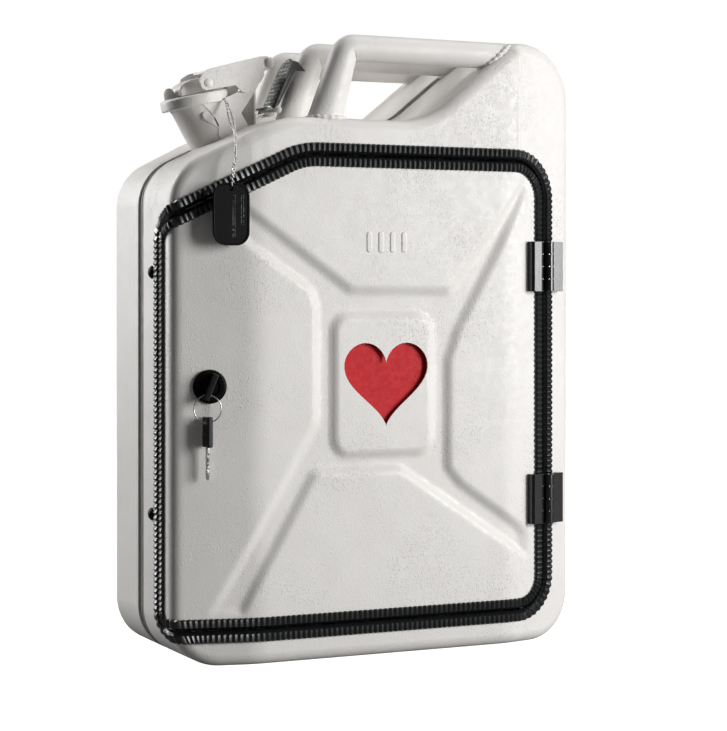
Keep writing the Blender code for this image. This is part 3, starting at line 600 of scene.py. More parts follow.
# %% The door's line and the cut
DOOR_LEFT_DEPTH = 39.5 * MM
DOOR_RIGHT = CREASE + (143.7 * MM - CREASE) / math.cos(FACET)
DOOR_LEFT = -(ARC_END + DOOR_LEFT_DEPTH - SIDE_START)
DOOR_LINE = [
    (DOOR_LEFT, 27.5 * MM, 14 * MM), (DOOR_RIGHT, 27.5 * MM, 26 * MM),
    (DOOR_RIGHT, 387 * MM, 30 * MM), (-72.4 * MM, 387 * MM, 60 * MM),
    (DOOR_LEFT, 328 * MM, 14 * MM),
]
METAL_EDGE = 2.4 * MM


def flat_cells(corners, grow, step_s, step_z):
    """The door's outline laid flat in the XZ plane and cut into cells, to be curved afterwards."""
    bm = bmesh.new()
    bm.faces.new([bm.verts.new((p.x, 0, p.y)) for p in rounded(corners, grow)])
    low = min(v.co.x for v in bm.verts), min(v.co.z for v in bm.verts)
    high = max(v.co.x for v in bm.verts), max(v.co.z for v in bm.verts)
    for axis, step, start, end in ((0, step_s, low[0], high[0]), (2, step_z, low[1], high[1])):
        normal = Vector((1, 0, 0)) if axis == 0 else Vector((0, 0, 1))
        for k in range(math.ceil(start / step), math.ceil(end / step)):
            bmesh.ops.bisect_plane(bm, geom=bm.verts[:] + bm.edges[:] + bm.faces[:], dist=1e-7,
                                   plane_co=normal * k * step, plane_no=normal)
    return bm


def skin_block(corners, grow, top, bottom, step=4 * MM):
    """A closed plate that follows the can's front between two lifts."""
    bm = flat_cells(corners, grow, step, 3 * step)
    lower = list(bm.verts)
    upper = [v for v in bmesh.ops.extrude_face_region(bm, geom=bm.faces[:])["geom"]
             if isinstance(v, bmesh.types.BMVert)]
    for verts, lift in ((lower, bottom), (upper, top)):
        for v in verts:
            v.co = skin(v.co.x, v.co.z, lift)
    return bm


opening = cutter("opening", skin_block(DOOR_LINE, METAL_EDGE, 6 * MM, -8 * MM))
front = cut(pressing(-5 * MM), [opening], wall=WALL)
front_pressing = piece("front_pressing", front, PAINT, "can", ["front_frame"], sharp=30)

rear = placed(pressing(-8.5 * MM), Matrix.Scale(-1, 4, (0, 1, 0)))
bmesh.ops.reverse_faces(rear, faces=rear.faces)
WALL_HOLES = 70 * MM, 350 * MM, 4 * MM      # out from the middle, up from the floor, radius
out, up, radius = WALL_HOLES
holes = [cutter("hole", placed(rod(radius, 20 * MM, 32),
                               Matrix.Translation((side * out, can_high.y, up)) @ FACE_FRONT))
         for side in (-1, 1)]
rear = cut(rear, holes, wall=WALL)
piece("rear_pressing", rear, PAINT, "can", ["rear_shell"], sharp=30)
print("front pressing:", len(front_pressing.data.polygons), "faces")

# %% [markdown]
# The seam shows as a sunk band between the pressings, with the two folded flanges standing in
# it as a pair of ridges. It is one profile carried round the can's outline.

# %% Seam band
SEAM_PROFILE = [(-8, -4.2), (-8, -3.0), (-3.4, -3.0), (-2.8, -0.6), (-1.2, -0.3), (-0.5, -1.8),
                (0.6, -1.8), (1.3, -0.3), (3.6, -0.6), (4.2, -3.0), (12, -3.0), (12, -4.2)]
band_rings = zip(*([(p.x, y * MM, p.y) for p in rounded(CAN_CORNERS, grow * MM, 16)]
                   for y, grow in SEAM_PROFILE))
# The band takes the darkened coat, which paints the shade of the recess.
seam = piece("seam_with_folded_flanges", loft(band_rings, closed=True), SEAM_SHADE_PAINT, "can",
             ["seam_band"])
print("seam band:", len(seam.data.polygons), "faces")

# %% [markdown]
# ## The door
# The door is the piece cut out of the front, with a cross of sunk channels pressed into it and a
# raised pad in the middle. The pressing is a height worked out for every point from its distance
# to the edge of the channels, so the walls are smooth ramps and not steps.

# %% Door pressing
CHANNEL = [(x * MM, z * MM, r * MM) for x, z, r in (
    (-119, 345, 0), (-119, 321, 0), (-63, 283, 14), (-59.7, 269, 8), (-59.7, 182, 12), (-143, 41, 0),
    (-121.5, 40.5, 0), (-63, 142.5, 3), (-58, 144.6, 3), (12, 144.6, 10), (131, 66.5, 0),
    (133, 83.5, 0), (64.5, 130, 8), (52.8, 143, 8), (52.8, 228, 14), (61.7, 252, 8),
    (124, 361.5, 0), (127, 374, 0), (54.5, 282, 4), (-31, 282.5, 12),
)]
CHANNEL_DEPTH = 3.6 * MM
WALL_RUN = 7.5 * MM             # width of a channel's sloping wall
PAD_CENTRE = Vector((-3.3, 210)) * MM
PAD_HALF = Vector((42.5, 54)) * MM
PAD_RADIUS = 13 * MM
PAD_RUN = 6.5 * MM


def edge_distance(places, corners):
    """Distance of many flat points to a closed line, negative inside it."""
    line = np.array([p[:] for p in rounded(corners, 0, 6)])
    ahead = np.roll(line, -1, axis=0)
    best = np.full(len(places), 1e9)
    inside = np.zeros(len(places), bool)
    for (ax, az), (bx, bz) in zip(line, ahead):
        run = np.array((bx - ax, bz - az))
        along = ((places - (ax, az)) @ run) / max(run @ run, 1e-18)
        near = np.array((ax, az)) + np.clip(along, 0, 1)[:, None] * run
        best = np.minimum(best, np.linalg.norm(places - near, axis=1))
        crosses = (az > places[:, 1]) != (bz > places[:, 1])
        if abs(bz - az) > 1e-12:
            inside ^= crosses & (places[:, 0] < ax + (places[:, 1] - az) * run[0] / run[1])
    return np.where(inside, -best, best)


def ramp(value, low, high):
    """A smooth step from 0 at low to 1 at high."""
    t = np.clip((value - low) / (high - low), 0, 1)
    return t * t * (3 - 2 * t)


def pressed_height(places):
    sunk = ramp(-edge_distance(places, CHANNEL), -WALL_RUN / 2, WALL_RUN / 2)
    fade = 1 - ramp(places[:, 0], 116 * MM, 131 * MM) - 0.45 * ramp(-places[:, 0], 112 * MM, 140 * MM)
    corners = rectangle(PAD_CENTRE - PAD_HALF, PAD_CENTRE + PAD_HALF, PAD_RADIUS)
    pad = ramp(-edge_distance(places, corners), -PAD_RUN / 2, PAD_RUN / 2)
    return -CHANNEL_DEPTH * sunk * fade * (1 - pad)


CELL = 2.4 * MM
door = flat_cells(DOOR_LINE, -METAL_EDGE, CELL, CELL)
places = np.array([(v.co.x, v.co.z) for v in door.verts])
lifts = pressed_height(places)
outer = list(door.verts)
inner = [v for v in bmesh.ops.extrude_face_region(door, geom=door.faces[:])["geom"]
         if isinstance(v, bmesh.types.BMVert)]
inner_places = np.array([(v.co.x, v.co.z) for v in inner])
for v, lift in zip(outer, lifts):
    v.co = skin(v.co.x, v.co.z, lift)
for v, lift in zip(inner, pressed_height(inner_places)):
    v.co = skin(v.co.x, v.co.z, lift - WALL)

# %% [markdown]
# The window is cut right through the pad, so its edge shows the sheet's thickness and the red
# panel lies in shadow behind it. The lock's hole is cut in the same step.

# %% Window and lock hole
WINDOW_CENTRE = Vector((-1.4, 210)) * MM
WINDOW_WIDTH = 72 * MM
LOCK_X = -144.5 * MM
LOCK_Z = 210.8 * MM
BARREL_RADIUS = 9.3 * MM


def heart(points=72):
    """A heart outline, counter-clockwise."""
    scale = WINDOW_WIDTH / 32
    out = []
    for i in range(points):
        t = -2 * math.pi * (i + 0.5) / points
        x = 16 * math.sin(t) ** 3
        z = 13 * math.cos(t) - 5 * math.cos(2 * t) - 2 * math.cos(3 * t) - math.cos(4 * t)
        out.append(Vector((WINDOW_CENTRE.x + x * scale, WINDOW_CENTRE.y + (z + 2.5) * scale)))
    return out


lock_s = -(CREASE + (abs(LOCK_X) - CREASE) / math.cos(FACET))
LOCK_FRAME = (Matrix.Translation(skin(lock_s, LOCK_Z, 0)) @ Matrix.Rotation(-FACET, 4, "Z")
              @ FACE_FRONT)
window = cutter("window", slab([(p.x, FRONT - 20 * MM, p.y) for p in heart()], (0, 40 * MM, 0)))
barrel = placed(rod(BARREL_RADIUS + 0.3 * MM, 20 * MM, 40), LOCK_FRAME)
door = cut(door, [window, cutter("barrel", barrel)], "MANIFOLD")
door_panel = piece("pressed_door_panel", door, PAINT, "door", ["door_skin"], sharp=50)
print("door:", len(door_panel.data.polygons), "faces")
frame["nodes"]["red_insert"].data.materials.clear()
frame["nodes"]["red_insert"].data.materials.append(RED)

# %% [markdown]
# ## Ribbed edging
# Both cut edges carry a U of black rubber with fine cross ribs, like a zip. A station is set
# every quarter rib along the door's line, and each station's section swells or sinks with the
# rib, so the ribs are real shape and turn the corners by themselves.

# %% Ribbed edging
RIB_PITCH = 4.3 * MM


def stations(corners, step):
    """Evenly spaced (place, outward normal, distance) along a rounded outline."""
    line = rounded(corners, 0, 24)
    lengths = [(b - a).length for a, b in zip(line, line[1:] + line[:1])]
    total = sum(lengths)
    count = 4 * round(total / (4 * step))
    found, i, passed = [], 0, 0.0
    for k in range(count):
        goal = total * k / count
        while passed + lengths[i] < goal:
            passed += lengths[i]
            i += 1
        a, b = line[i], line[(i + 1) % len(line)]
        along = (b - a).normalized()
        found.append((a + along * (goal - passed), Vector((along.y, -along.x)), k))
    return found


def trim_ring(station, side):
    place, normal, k = station
    v = (0, 0.35, 1, 0.35)[k % 4]
    out = 9.3 - 0.7 * v
    section = [(0.6, -3.8), (8, -3.8), (8, -1.9), (2.1, -1.9), (2.1, 0.1), (out, 0.3),
               (out, 1.8 - 0.8 * v), (out - 0.9, 2.8 - 1.1 * v), (5.6, 3.0 - 1.2 * v),
               (2.9, 2.6 - 1.0 * v), (2.2, 1.2 - 0.4 * v), (1.0, -0.6)]
    ring = []
    for away, lift in section:
        flat = place + normal * side * away * MM
        ring.append(skin(flat.x, flat.y, lift * MM))
    return ring


for name, node, side, body in (("ribbed_edging_on_can", "body_trim", 1, "can"),
                               ("ribbed_edging_on_door", "door_trim", -1, "door")):
    rings = [trim_ring(station, side) for station in stations(DOOR_LINE, RIB_PITCH / 4)]
    piece(name, loft(rings, closed=True), RUBBER, body, [node], sharp=28)
    print(name, len(rings) // 4, "ribs")

# %% [markdown]
# ## Tubes
# A tube is a ring of points carried along a path. A bead of weld is a thin closed tube, swollen
# by a wave and a noise.

# %% Tubes and weld beads
def smooth_path(points, per_span):
    """A Catmull-Rom curve through rows of numbers, sampled evenly along each span."""
    rows = [np.array(p, float) for p in points]
    rows = [2 * rows[0] - rows[1]] + rows + [2 * rows[-1] - rows[-2]]
    out = []
    for a, b, c, d in zip(rows, rows[1:], rows[2:], rows[3:]):
        for k in range(per_span):
            t = k / per_span
            out.append(0.5 * (2 * b + (c - a) * t + (2 * a - 5 * b + 4 * c - d) * t ** 2
                              + (3 * b - a - 3 * c + d) * t ** 3))
    return out + [rows[-2]]


def tube_rings(path, radius_at, sides, closed=False):
    """Rings of points square to a path; radius_at gives the radius at each step of it."""
    rings = []
    count = len(path)
    for i, place in enumerate(path):
        ahead = path[(i + 1) % count] if closed else path[min(i + 1, count - 1)]
        behind = path[i - 1] if closed or i else path[0]
        along = (ahead - behind).normalized()
        side = along.orthogonal() if not rings else (side - along * side.dot(along))
        side.normalize()
        across = along.cross(side)
        rings.append([place + (side * math.cos(a) + across * math.sin(a)) * radius_at(i)
                      for a in (2 * math.pi * k / sides for k in range(sides))])
    return rings


def weld_bead(name, loop, size, body):
    """A bead of weld along a closed loop of places, lumpy as a hand-laid bead is."""
    def lump(i):
        wave = abs(math.sin(i * 0.75)) * 0.45
        return size * (0.75 + wave + 0.35 * noise.noise(loop[i] * 300))
    return piece(name, loft(tube_rings(loop, lump, 8, closed=True), closed=True), PAINT, body,
                 sharp=60)


def circle(centre, across, up, count):
    return [centre + across * math.cos(a) + up * math.sin(a)
            for a in (2 * math.pi * k / count for k in range(count))]


# %% [markdown]
# ## Carrying handles
# Three bars of round tube run from the top of the can to the hump. Leg, fold and bar are lofted
# in one go; the fold's rings turn about its inner corner, which keeps it crisp.

# %% Handles
BAR_LEVEL = HUMP_TOP - 10.5 * MM
CORNER = Vector((-20.6, 461.4)) * MM       # inside of the fold between leg and bar
LEG_FOOT = Vector((-48.4, 408)) * MM       # middle of the leg, a little below the can's top


def handle_rings(y):
    """Leg, fold and bar: the rings of the fold all turn about its inner corner."""
    leg = (CORNER + Vector((-11.5, 4)) * MM - LEG_FOOT).normalized()
    lean = math.atan2(leg.x, leg.y)
    rings = []

    def ring(centre, tilt, half_wide, half_deep, pinch=0.0):
        across = Vector((math.cos(tilt), 0, -math.sin(tilt)))
        rings.append([Vector((centre.x, y, centre.y)) + across * half_wide * math.cos(a)
                      + Vector((0, half_deep * math.sin(a) * (1 - pinch * max(0, math.cos(a))), 0))
                      for a in (2 * math.pi * k / 40 for k in range(40))])

    start = CORNER - Vector((math.cos(lean), -math.sin(lean))) * 10.8 * MM
    for k in range(9):
        share = k / 8
        wide = 14.8 + (10.8 - 14.8) * share ** 0.8
        ring(LEG_FOOT.lerp(start, share), lean, wide * MM, (10.9 - 0.4 * share) * MM)
    for k in range(1, 9):
        tilt = lean + (math.pi / 2 - lean) * k / 8
        radius = (10.8 - 0.3 * k / 8) * MM
        ring(CORNER - Vector((math.cos(tilt), -math.sin(tilt))) * radius, tilt, radius, 10.5 * MM,
             0.22 if k == 4 else 0.0)
    for x in (0, 30, 60, 90, 133):
        ring(Vector((x * MM, BAR_LEVEL)), math.pi / 2, 10.5 * MM, 10.5 * MM)
    return rings


for row in ("front", "middle", "rear"):
    low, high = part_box(f"handle_{row}")
    y = (low[1] + high[1]) / 2
    piece(f"carrying_handle_{row}", loft(handle_rings(y)), PAINT, "can", [f"handle_{row}"], sharp=50)
    foot = circle(Vector((-45.6 * MM, y, 416.2 * MM)), Vector((14.9, 0, 0)) * MM,
                  Vector((0, 11.3, 0)) * MM, 70)
    weld_bead(f"handle_foot_weld_{row}", foot, 1.7 * MM, "can")
    slope = math.atan2(HUMP_TOP - CAN_TOP, HUMP_RUN)
    meets = Vector((HUMP_START + (BAR_LEVEL - CAN_TOP) / math.tan(slope), y, BAR_LEVEL))
    arc = circle(meets, Vector((math.cos(slope), 0, math.sin(slope))) * 10.9 * MM / math.sin(slope),
                 Vector((0, 10.9, 0)) * MM, 80)
    arc = [p for p in arc if p.z < HUMP_TOP - 2.5 * MM]
    bead = loft(tube_rings(arc, lambda i: (1.4 + 0.7 * abs(math.sin(i * 0.8))) * MM, 8))
    piece(f"handle_end_weld_{row}", bead, PAINT, "can", sharp=60)
print("handles and their welds made")

# %% [markdown]
# Above the pad the pressing carries a raised mark. Here it is four plain raised strokes.

# %% Raised strokes
strokes = bmesh.new()
for x in (-16, -6, 4, 14):
    corners = rectangle(Vector((x - 1.7, 313)) * MM, Vector((x + 1.7, 328)) * MM, 1.6 * MM)
    mark_rings = [[(p.x, FRONT - lift * MM, p.y) for p in rounded(corners, grow * MM, 5)]
                  for grow, lift in ((0.9, -0.4), (0.7, 0.05), (0.1, 0.45), (-0.5, 0.6))]
    add_mesh(strokes, loft(mark_rings))
piece("raised_strokes_over_pad", strokes, PAINT, "door", sharp=50)

# %% [markdown]
# ## Plates kept from the frame
# The trays, the strike, the lock's cam and the hinge leaves are plain plate, so the CAD's own
# plates are kept with their edges rounded. The leaves are drawn a little narrower than the CAD's.

# %% Softened plates from the frame
def softened(name, node, finish, body, width):
    """A CAD plate with its triangles joined into flat faces and its edges rounded."""
    bm = bmesh.new()
    bm.from_mesh(frame["nodes"][node].data)
    bmesh.ops.remove_doubles(bm, verts=bm.verts, dist=2e-6)
    bmesh.ops.dissolve_limit(bm, angle_limit=math.radians(1.5), verts=bm.verts, edges=bm.edges)
    soften(bm, width, 2, 28)
    return piece(name, bm, finish, body, [node], sharp=40, recalc=False)


softened("shelf_lower_tray", "shelf_lower", PAINT, "can", 0.35 * MM)
softened("shelf_upper_tray", "shelf_upper", PAINT, "can", 0.35 * MM)
softened("lock_strike", "strike_plate", STEEL, "can", 0.3 * MM)
softened("lock_cam_arm", "lock_cam", STEEL, "lock_core", 0.5 * MM)
LEAF_WIDTH = 0.93               # a drawn leaf's width over the CAD leaf's
pin_x = sum(c[0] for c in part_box("hinge_upper_pin")) / 2
for row in ("upper", "lower"):
    for body, side in (("door", "door"), ("can", "body")):
        leaf = softened(f"hinge_{row}_leaf_{body}", f"hinge_{row}_{side}_leaf", HINGE_BLACK, body,
                        0.35 * MM)
        for v in leaf.data.vertices:
            v.co.x = pin_x + (v.co.x - pin_x) * LEAF_WIDTH

# %% [markdown]
# ## Spout and cap
# The neck leans out of the shoulder and ends square to the tilted cap, which is a turned shell
# with a sealing ring inside.

# %% Neck and cap
CAP_TILT = math.radians(13)
CAP_TOP = Vector((-129.5, 0, 436.5)) * MM
CAP_FRAME = Matrix.Translation(CAP_TOP) @ Matrix.Rotation(-CAP_TILT, 4, "Y")
NECK_BASE = Vector((-104, 0, 385)) * MM
NECK_RADIUS = 21.5 * MM


def neck_rings(stations):
    """Rings from the neck's foot (0) to its mouth (1), each (share, radius)."""
    mouth = CAP_FRAME @ Vector((0, 0, -5.6 * MM))
    rings = []
    for share, radius in stations:
        turn = Matrix.Rotation(-CAP_TILT * share, 3, "Y")
        centre = NECK_BASE.lerp(mouth, share)
        rings.append([centre + turn @ Vector((radius * math.cos(a), radius * math.sin(a), 0))
                      for a in (2 * math.pi * k / 64 for k in range(64))])
    return rings


r = NECK_RADIUS
neck = loft(neck_rings([(0.12, r), (0.5, r), (0.86, r), (0.94, r + 0.6 * MM), (1, r + 1.6 * MM),
                        (1, r - 1.4 * MM), (0.9, r - 2 * MM), (0.12, r - 2 * MM)]), closed=True)
piece("leaning_spout_neck", neck, PAINT, "can", ["spout_neck"], sharp=40)

cap_line = [(0, 0), (24.6, 0), (25.8, -0.25), (26.8, -0.95), (27.2, -1.9), (27.2, -7.9), (26.9, -8.7),
            (26.2, -9), (25.6, -8.7), (25.6, -3), (22, -1.9), (0, -1.9)]
cap = placed(turned_mm(cap_line, 72), CAP_FRAME)
piece("spout_cap_shell", cap, PAINT, "closure", ["spout_cap"], sharp=50)
gasket_line = [(15, -2.2), (24.5, -2.2), (25, -2.8), (24.5, -5.2), (18, -5.2), (15, -2.2)]
piece("cap_sealing_ring", placed(turned_mm(gasket_line, 48), CAP_FRAME), RUBBER, "closure",
      ["cap_gasket"])

# %% [markdown]
# The saddle on the cap is a strap bent over the arm's pin, so it is drawn from the side as a
# curve and given its width; the thumb tab beside it is a half round of the same plate.

# %% Saddle, tab and pins
def side_strap(line, half_width, frame_matrix):
    """A strap seen from the side as a closed outline, given its width along Y."""
    points = [frame_matrix @ Vector((x * MM, -half_width, z * MM)) for x, z in line]
    return slab(points, (0, 2 * half_width, 0))


saddle_line = [(-15.2, 0.3), (14.5, 0.3), (14.5, 3), (9.5, 9.2), (5.5, 11.6), (1, 12.4), (-4, 12),
               (-9, 10.6), (-13, 8.6), (-15.2, 5.4)]
saddle = side_strap(saddle_line, 12 * MM, CAP_FRAME)
soften(saddle, 1.6 * MM, 4, 50)
piece("cap_saddle_strap", saddle, PAINT, "closure", ["cap_saddle"], sharp=40)
half_round = [(-20 + 4.6 * math.cos(a), 3.2 + 5.8 * math.sin(a)) for a in
              (math.radians(d) for d in range(-5, 186, 10))]
tab = side_strap([(-24.6, 0.25), (-15.4, 0.25)] + half_round, 0.9 * MM, CAP_FRAME)
soften(tab, 0.4 * MM, 2, 40)
piece("cap_thumb_tab", tab, PAINT, "closure", ["cap_tab"], sharp=35)

BUTTON = [(0, 1.9), (1.6, 1.75), (2.9, 1.25), (3.6, 0.45), (3.7, 0), (2.0, 0), (2.0, -1)]


def button_pin(name, node, finish, body, head):
    """A pin along Y with a domed head at each end; head scales the heads."""
    low, high = (Vector(c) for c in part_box(node))
    centre, half = (low + high) / 2, (high.y - low.y) / 2
    line = [(r * head * MM, half - 1.9 * MM + h * MM) for r, h in BUTTON[:-1]]
    both = line + [(r, -z) for r, z in reversed(line)]
    bm = placed(turned(both, 36), Matrix.Translation(centre) @ FACE_FRONT)
    return piece(name, bm, finish, body, [node], sharp=40)


button_pin("arm_pivot_pin", "arm_pin", PAINT, "can", 1.0)
button_pin("cap_button_pin", "cap_pin", PAINT, "closure", 1.15)
button_pin("lever_pivot_pin", "lever_pin", PAINT, "can", 0.8)

# %% [markdown]
# The bracket's two cheeks are flame-cut plate welded against the neck, with a point that runs
# forward in front of it; the arm lies outside them and ends in two rolled barrels over the pin.

# %% Bracket and arm
INNER = 20.4 * MM
PLATE = 1.8 * MM
CHEEK = [(-112.6, 395), (-78, 401), (-80, 409), (-91, 410.5), (-98, 422), (-84, 443), (-79.5, 455),
         (-69.5, 460), (-69.2, 465), (-73, 467), (-79, 466), (-98, 440), (-110, 434), (-126, 431),
         (-130.2, 427), (-124, 421.6), (-119.2, 412.5), (-117.2, 408.5), (-117.7, 405)]
ARM = [(-132, 439.6), (-128, 438), (-121, 439.6), (-104, 443), (-98, 438), (-94, 437.6), (-81.5, 447.5),
       (-79.5, 452), (-80.2, 466.2), (-82, 467), (-126, 455), (-131.5, 451), (-133.8, 445)]


def cheeks(outline, inner, wall):
    """Two like plates, one each side of the middle."""
    bm = bmesh.new()
    for side in (-1, 1):
        start = -inner - wall if side < 0 else inner
        add_mesh(bm, slab([(x * MM, start, z * MM) for x, z in outline], (0, wall, 0)))
    return bm


bracket = cheeks(CHEEK, INNER, PLATE)
add_cube(bracket, Matrix.Translation(Vector((-86, 0, 424)) * MM)
         @ Matrix.Diagonal((2 * MM, 2 * INNER, 34 * MM, 1)))
soften(bracket, 0.55 * MM, 2, 40)
piece("closure_bracket_plates", bracket, PAINT, "can", ["closure_bracket"], sharp=35)

arm = cheeks(ARM, INNER + PLATE + 0.5 * MM, PLATE)
web_half = INNER + 2 * PLATE
web = [(-122, 453.9), (-122, 455.9), (-80, 467.2), (-76, 467.2), (-76, 465.4), (-79.6, 465.3)]
add_mesh(arm, slab([(x * MM, -web_half, z * MM) for x, z in web], (0, 2 * web_half, 0)))
soften(arm, 0.55 * MM, 2, 40)
piece("closure_arm", arm, PAINT, "closure", ["cap_arm"], sharp=35)
for side in (-1, 1):
    barrel_line = [(x, side * (0.6 + z * 18.6)) for x, z in
                   ((0, 0), (4.2, 0), (4.8, 0.04), (4.8, 0.96), (4.2, 1), (0, 1))]
    barrel = placed(turned_mm(barrel_line, 40),
                    Matrix.Translation(Vector((-74.5, 0, 462.4)) * MM) @ FACE_FRONT)
    piece(f"arm_barrel_{'near' if side > 0 else 'far'}", barrel, PAINT, "closure", sharp=35)
LUG = [(-131, 420.5), (-127.5, 422.4), (-119, 418), (-114.5, 410), (-118, 409.5), (-123, 412),
       (-129.5, 416)]
lug = slab([(x * MM, -INNER - PLATE, z * MM) for x, z in LUG], (0, 4.5 * MM, 0))
soften(lug, 1.2 * MM, 3, 40)
piece("neck_side_lug", lug, PAINT, "can", sharp=40)

# %% [markdown]
# ## Latch lever
# The lever is a blackened plate with a flange down its near side and a bright rolled foot. The
# stamping on its face is plain raised strokes in rows, which say nothing.

# %% Latch lever
lever_foot, lever_top = Vector((-70, 0, 425)) * MM, Vector((-54, 0, 461)) * MM
along = (lever_top - lever_foot).normalized()
face_out = Vector((-along.z, 0, along.x))
MARK_DEPTH = 1.5 * MM
LEVER_LINE = [(1.5, -12.5), (40, -12.5), (46.5, -9.5), (49, -3), (48, 4), (44.5, 9.5), (39, 12.5),
              (1.5, 12.5)]
lever = slab([lever_foot - face_out * 1.6 * MM + along * u * MM + Vector((0, v * MM, 0))
              for u, v in LEVER_LINE], -face_out * 2.4 * MM)
soften(lever, 0.5 * MM, 2, 40)
piece("latch_lever_plate", lever, DARK_STEEL, "lever", ["latch_lever"], sharp=40)
cheek_line = [(4, -1.6), (46, -1.6), (47, -6), (43, -15), (40, -7.5), (8, -5)]
cheek = slab([lever_foot + along * u * MM + face_out * out * MM + Vector((0, -12.4 * MM, 0))
              for u, out in cheek_line], (0, 1.6 * MM, 0))
soften(cheek, 0.3 * MM, 2, 40)
piece("latch_lever_side_flange", cheek, HINGE_BLACK, "lever", sharp=40)
roll = placed(turned_mm([(0, -12.6), (3.6, -12.6), (4.2, -12), (4.2, 12), (3.6, 12.6), (0, 12.6)], 36),
              Matrix.Translation(lever_foot) @ FACE_FRONT)
piece("latch_lever_rolled_foot", roll, STEEL, "lever", sharp=40)
marks = bmesh.new()
random.seed(4)
for row in range(12):
    share = 0.16 + row * 0.092
    reach = 9.5 * MM if row < 10 else 6.5 * MM
    y = -reach
    while y < reach:
        length = random.uniform(1.0, 2.6) * MM
        centre = lever_foot + along * (lever_top - lever_foot).length * share + Vector((0, y, 0))
        size = Matrix.Diagonal((0.5 * MM, length, random.uniform(0.8, 2.0) * MM, 1))
        turn = Matrix.Rotation(math.atan2(along.x, along.z), 4, "Y")
        lean = Matrix.Rotation(random.uniform(-0.5, 0.5), 4, "X")
        place = Matrix.Translation(centre - face_out * MARK_DEPTH)
        add_cube(marks, place @ turn @ lean @ size)
        y += length + random.uniform(0.5, 1.2) * MM
piece("lever_stamped_strokes", marks, STEEL, "lever", sharp=30)

# %% [markdown]
# ## Identity tag and its ball chain
# The tag is a stamped plate with a rolled rim. Its printing is replaced by plain rows of raised
# dots.

# %% Tag
tag_low, tag_high = (Vector(c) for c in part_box("identity_tag"))
tag_low.x, tag_high.x = tag_low.x - 2.9 * MM, tag_high.x - 1.4 * MM
tag_x, tag_y = (tag_low.x + tag_high.x) / 2, (tag_low.y + tag_high.y) / 2


def tag_outline(grow):
    return rounded(rectangle(tag_low.xz, tag_high.xz, 10.5 * MM), grow, 10)


tag_steps = [(0, 0.55), (-0.35, 0.95), (-0.9, 1.1), (-1.5, 0.9), (-1.9, 0.25)]
tag_rings = [[(p.x, tag_y - lift * MM * 0.75, p.y) for p in tag_outline(grow * MM)]
             for grow, lift in tag_steps]
tag_rings = [[(p.x, tag_y + 0.55 * MM, p.y) for p in tag_outline(g * MM)] for g in (-1.9, 0)] + tag_rings
tag_hole = Vector((tag_x, tag_y, tag_high.z - 4.5 * MM))
hole_tool = placed(rod(1.9 * MM, 10 * MM, 28), Matrix.Translation(tag_hole) @ FACE_FRONT)
tag = cut(loft(tag_rings), [cutter("tag_hole", hole_tool)])
piece("stamped_tag", tag, TAG_BLACK, "tag", ["identity_tag"], sharp=40)
FIRST_DOT = 9.5                 # mm below the tag's top
dots = bmesh.new()
for x, count in ((1.2, 24), (3.0, 24), (8.0, 17), (9.8, 17)):
    for k in range(count):
        if random.random() < 0.25:
            continue
        dome = bmesh.ops.create_icosphere(dots, subdivisions=1, radius=0.38 * MM)["verts"]
        bmesh.ops.translate(dots, verts=dome, vec=(tag_x + x * MM, tag_y - 0.35 * MM,
                                                   tag_high.z - (FIRST_DOT + 1.35 * k) * MM))
piece("tag_dot_rows", dots, STEEL, "tag", sharp=60)

# %% [markdown]
# The chain is two strands of small balls on thin links, from the bracket to the tag. They bow
# apart on the way and sway a little.

# %% Ball chain
CHAIN_ROUTE = [(-113.0, -24.0, 432), (-112.6, -28.5, 428), (-112.6, -34, 420.5), (-114.5, -43, 413.6),
               (-118, -56, 407.8), (-122, -68, 403.2), (-125.3, -78.5, 397.0),
               (-128.2, -85.9, 388), (-130.4, -88.0, 377), (-131.7, -88.1, 368), (-132, -87.0, 361.2)]
BALL = 0.98 * MM


def chain_strand(sideways):
    """Balls spaced along the route, with the strand held a little to one side in the middle."""
    flow = smooth_path(CHAIN_ROUTE, 12)
    route = []
    for i, row in enumerate(flow):
        bow = math.sin(math.pi * i / (len(flow) - 1))
        sway = math.sin(2.6 * math.pi * i / (len(flow) - 1))
        apart = sideways * (1.0 + 1.3 * sway) * bow * MM
        route.append(Vector(row) * MM + Vector((1, 0.12, 0.35)) * apart)
    places, passed = [route[0]], 0.0
    for a, b in zip(route, route[1:]):
        passed += (b - a).length
        if passed >= 2.62 * BALL:
            places.append(b)
            passed = 0.0
    return places


beads = bmesh.new()
for sideways in (-1, 1):
    places = chain_strand(sideways)
    for a, b in zip(places, places[1:] + places[-1:]):
        ball = bmesh.ops.create_icosphere(beads, subdivisions=2, radius=BALL)["verts"]
        bmesh.ops.translate(beads, verts=ball, vec=a)
        if (b - a).length > BALL:
            link = bmesh.ops.create_cone(beads, cap_ends=True, segments=6, radius1=0.35 * MM,
                                         radius2=0.35 * MM, depth=(b - a).length)["verts"]
            turn = Vector((0, 0, 1)).rotation_difference(b - a).to_matrix().to_4x4()
            bmesh.ops.transform(beads, verts=link, matrix=Matrix.Translation((a + b) / 2) @ turn)
piece("ball_chain_strands", beads, STEEL, "can", ["ball_chain"], sharp=60)
print("chain:", len(places), "balls a strand")

# %% [markdown]
# ## Cam lock and keys
# The lock's face is a turned ring with a sunk plug, and the key's head stands out of it at a
# slant. Turned pieces are drawn as half sections; the key heads are blocks with rounded edges.

# %% Lock
def on_lock(bm, turn=0.0):
    return placed(bm, LOCK_FRAME @ Matrix.Rotation(turn, 4, "Z"))


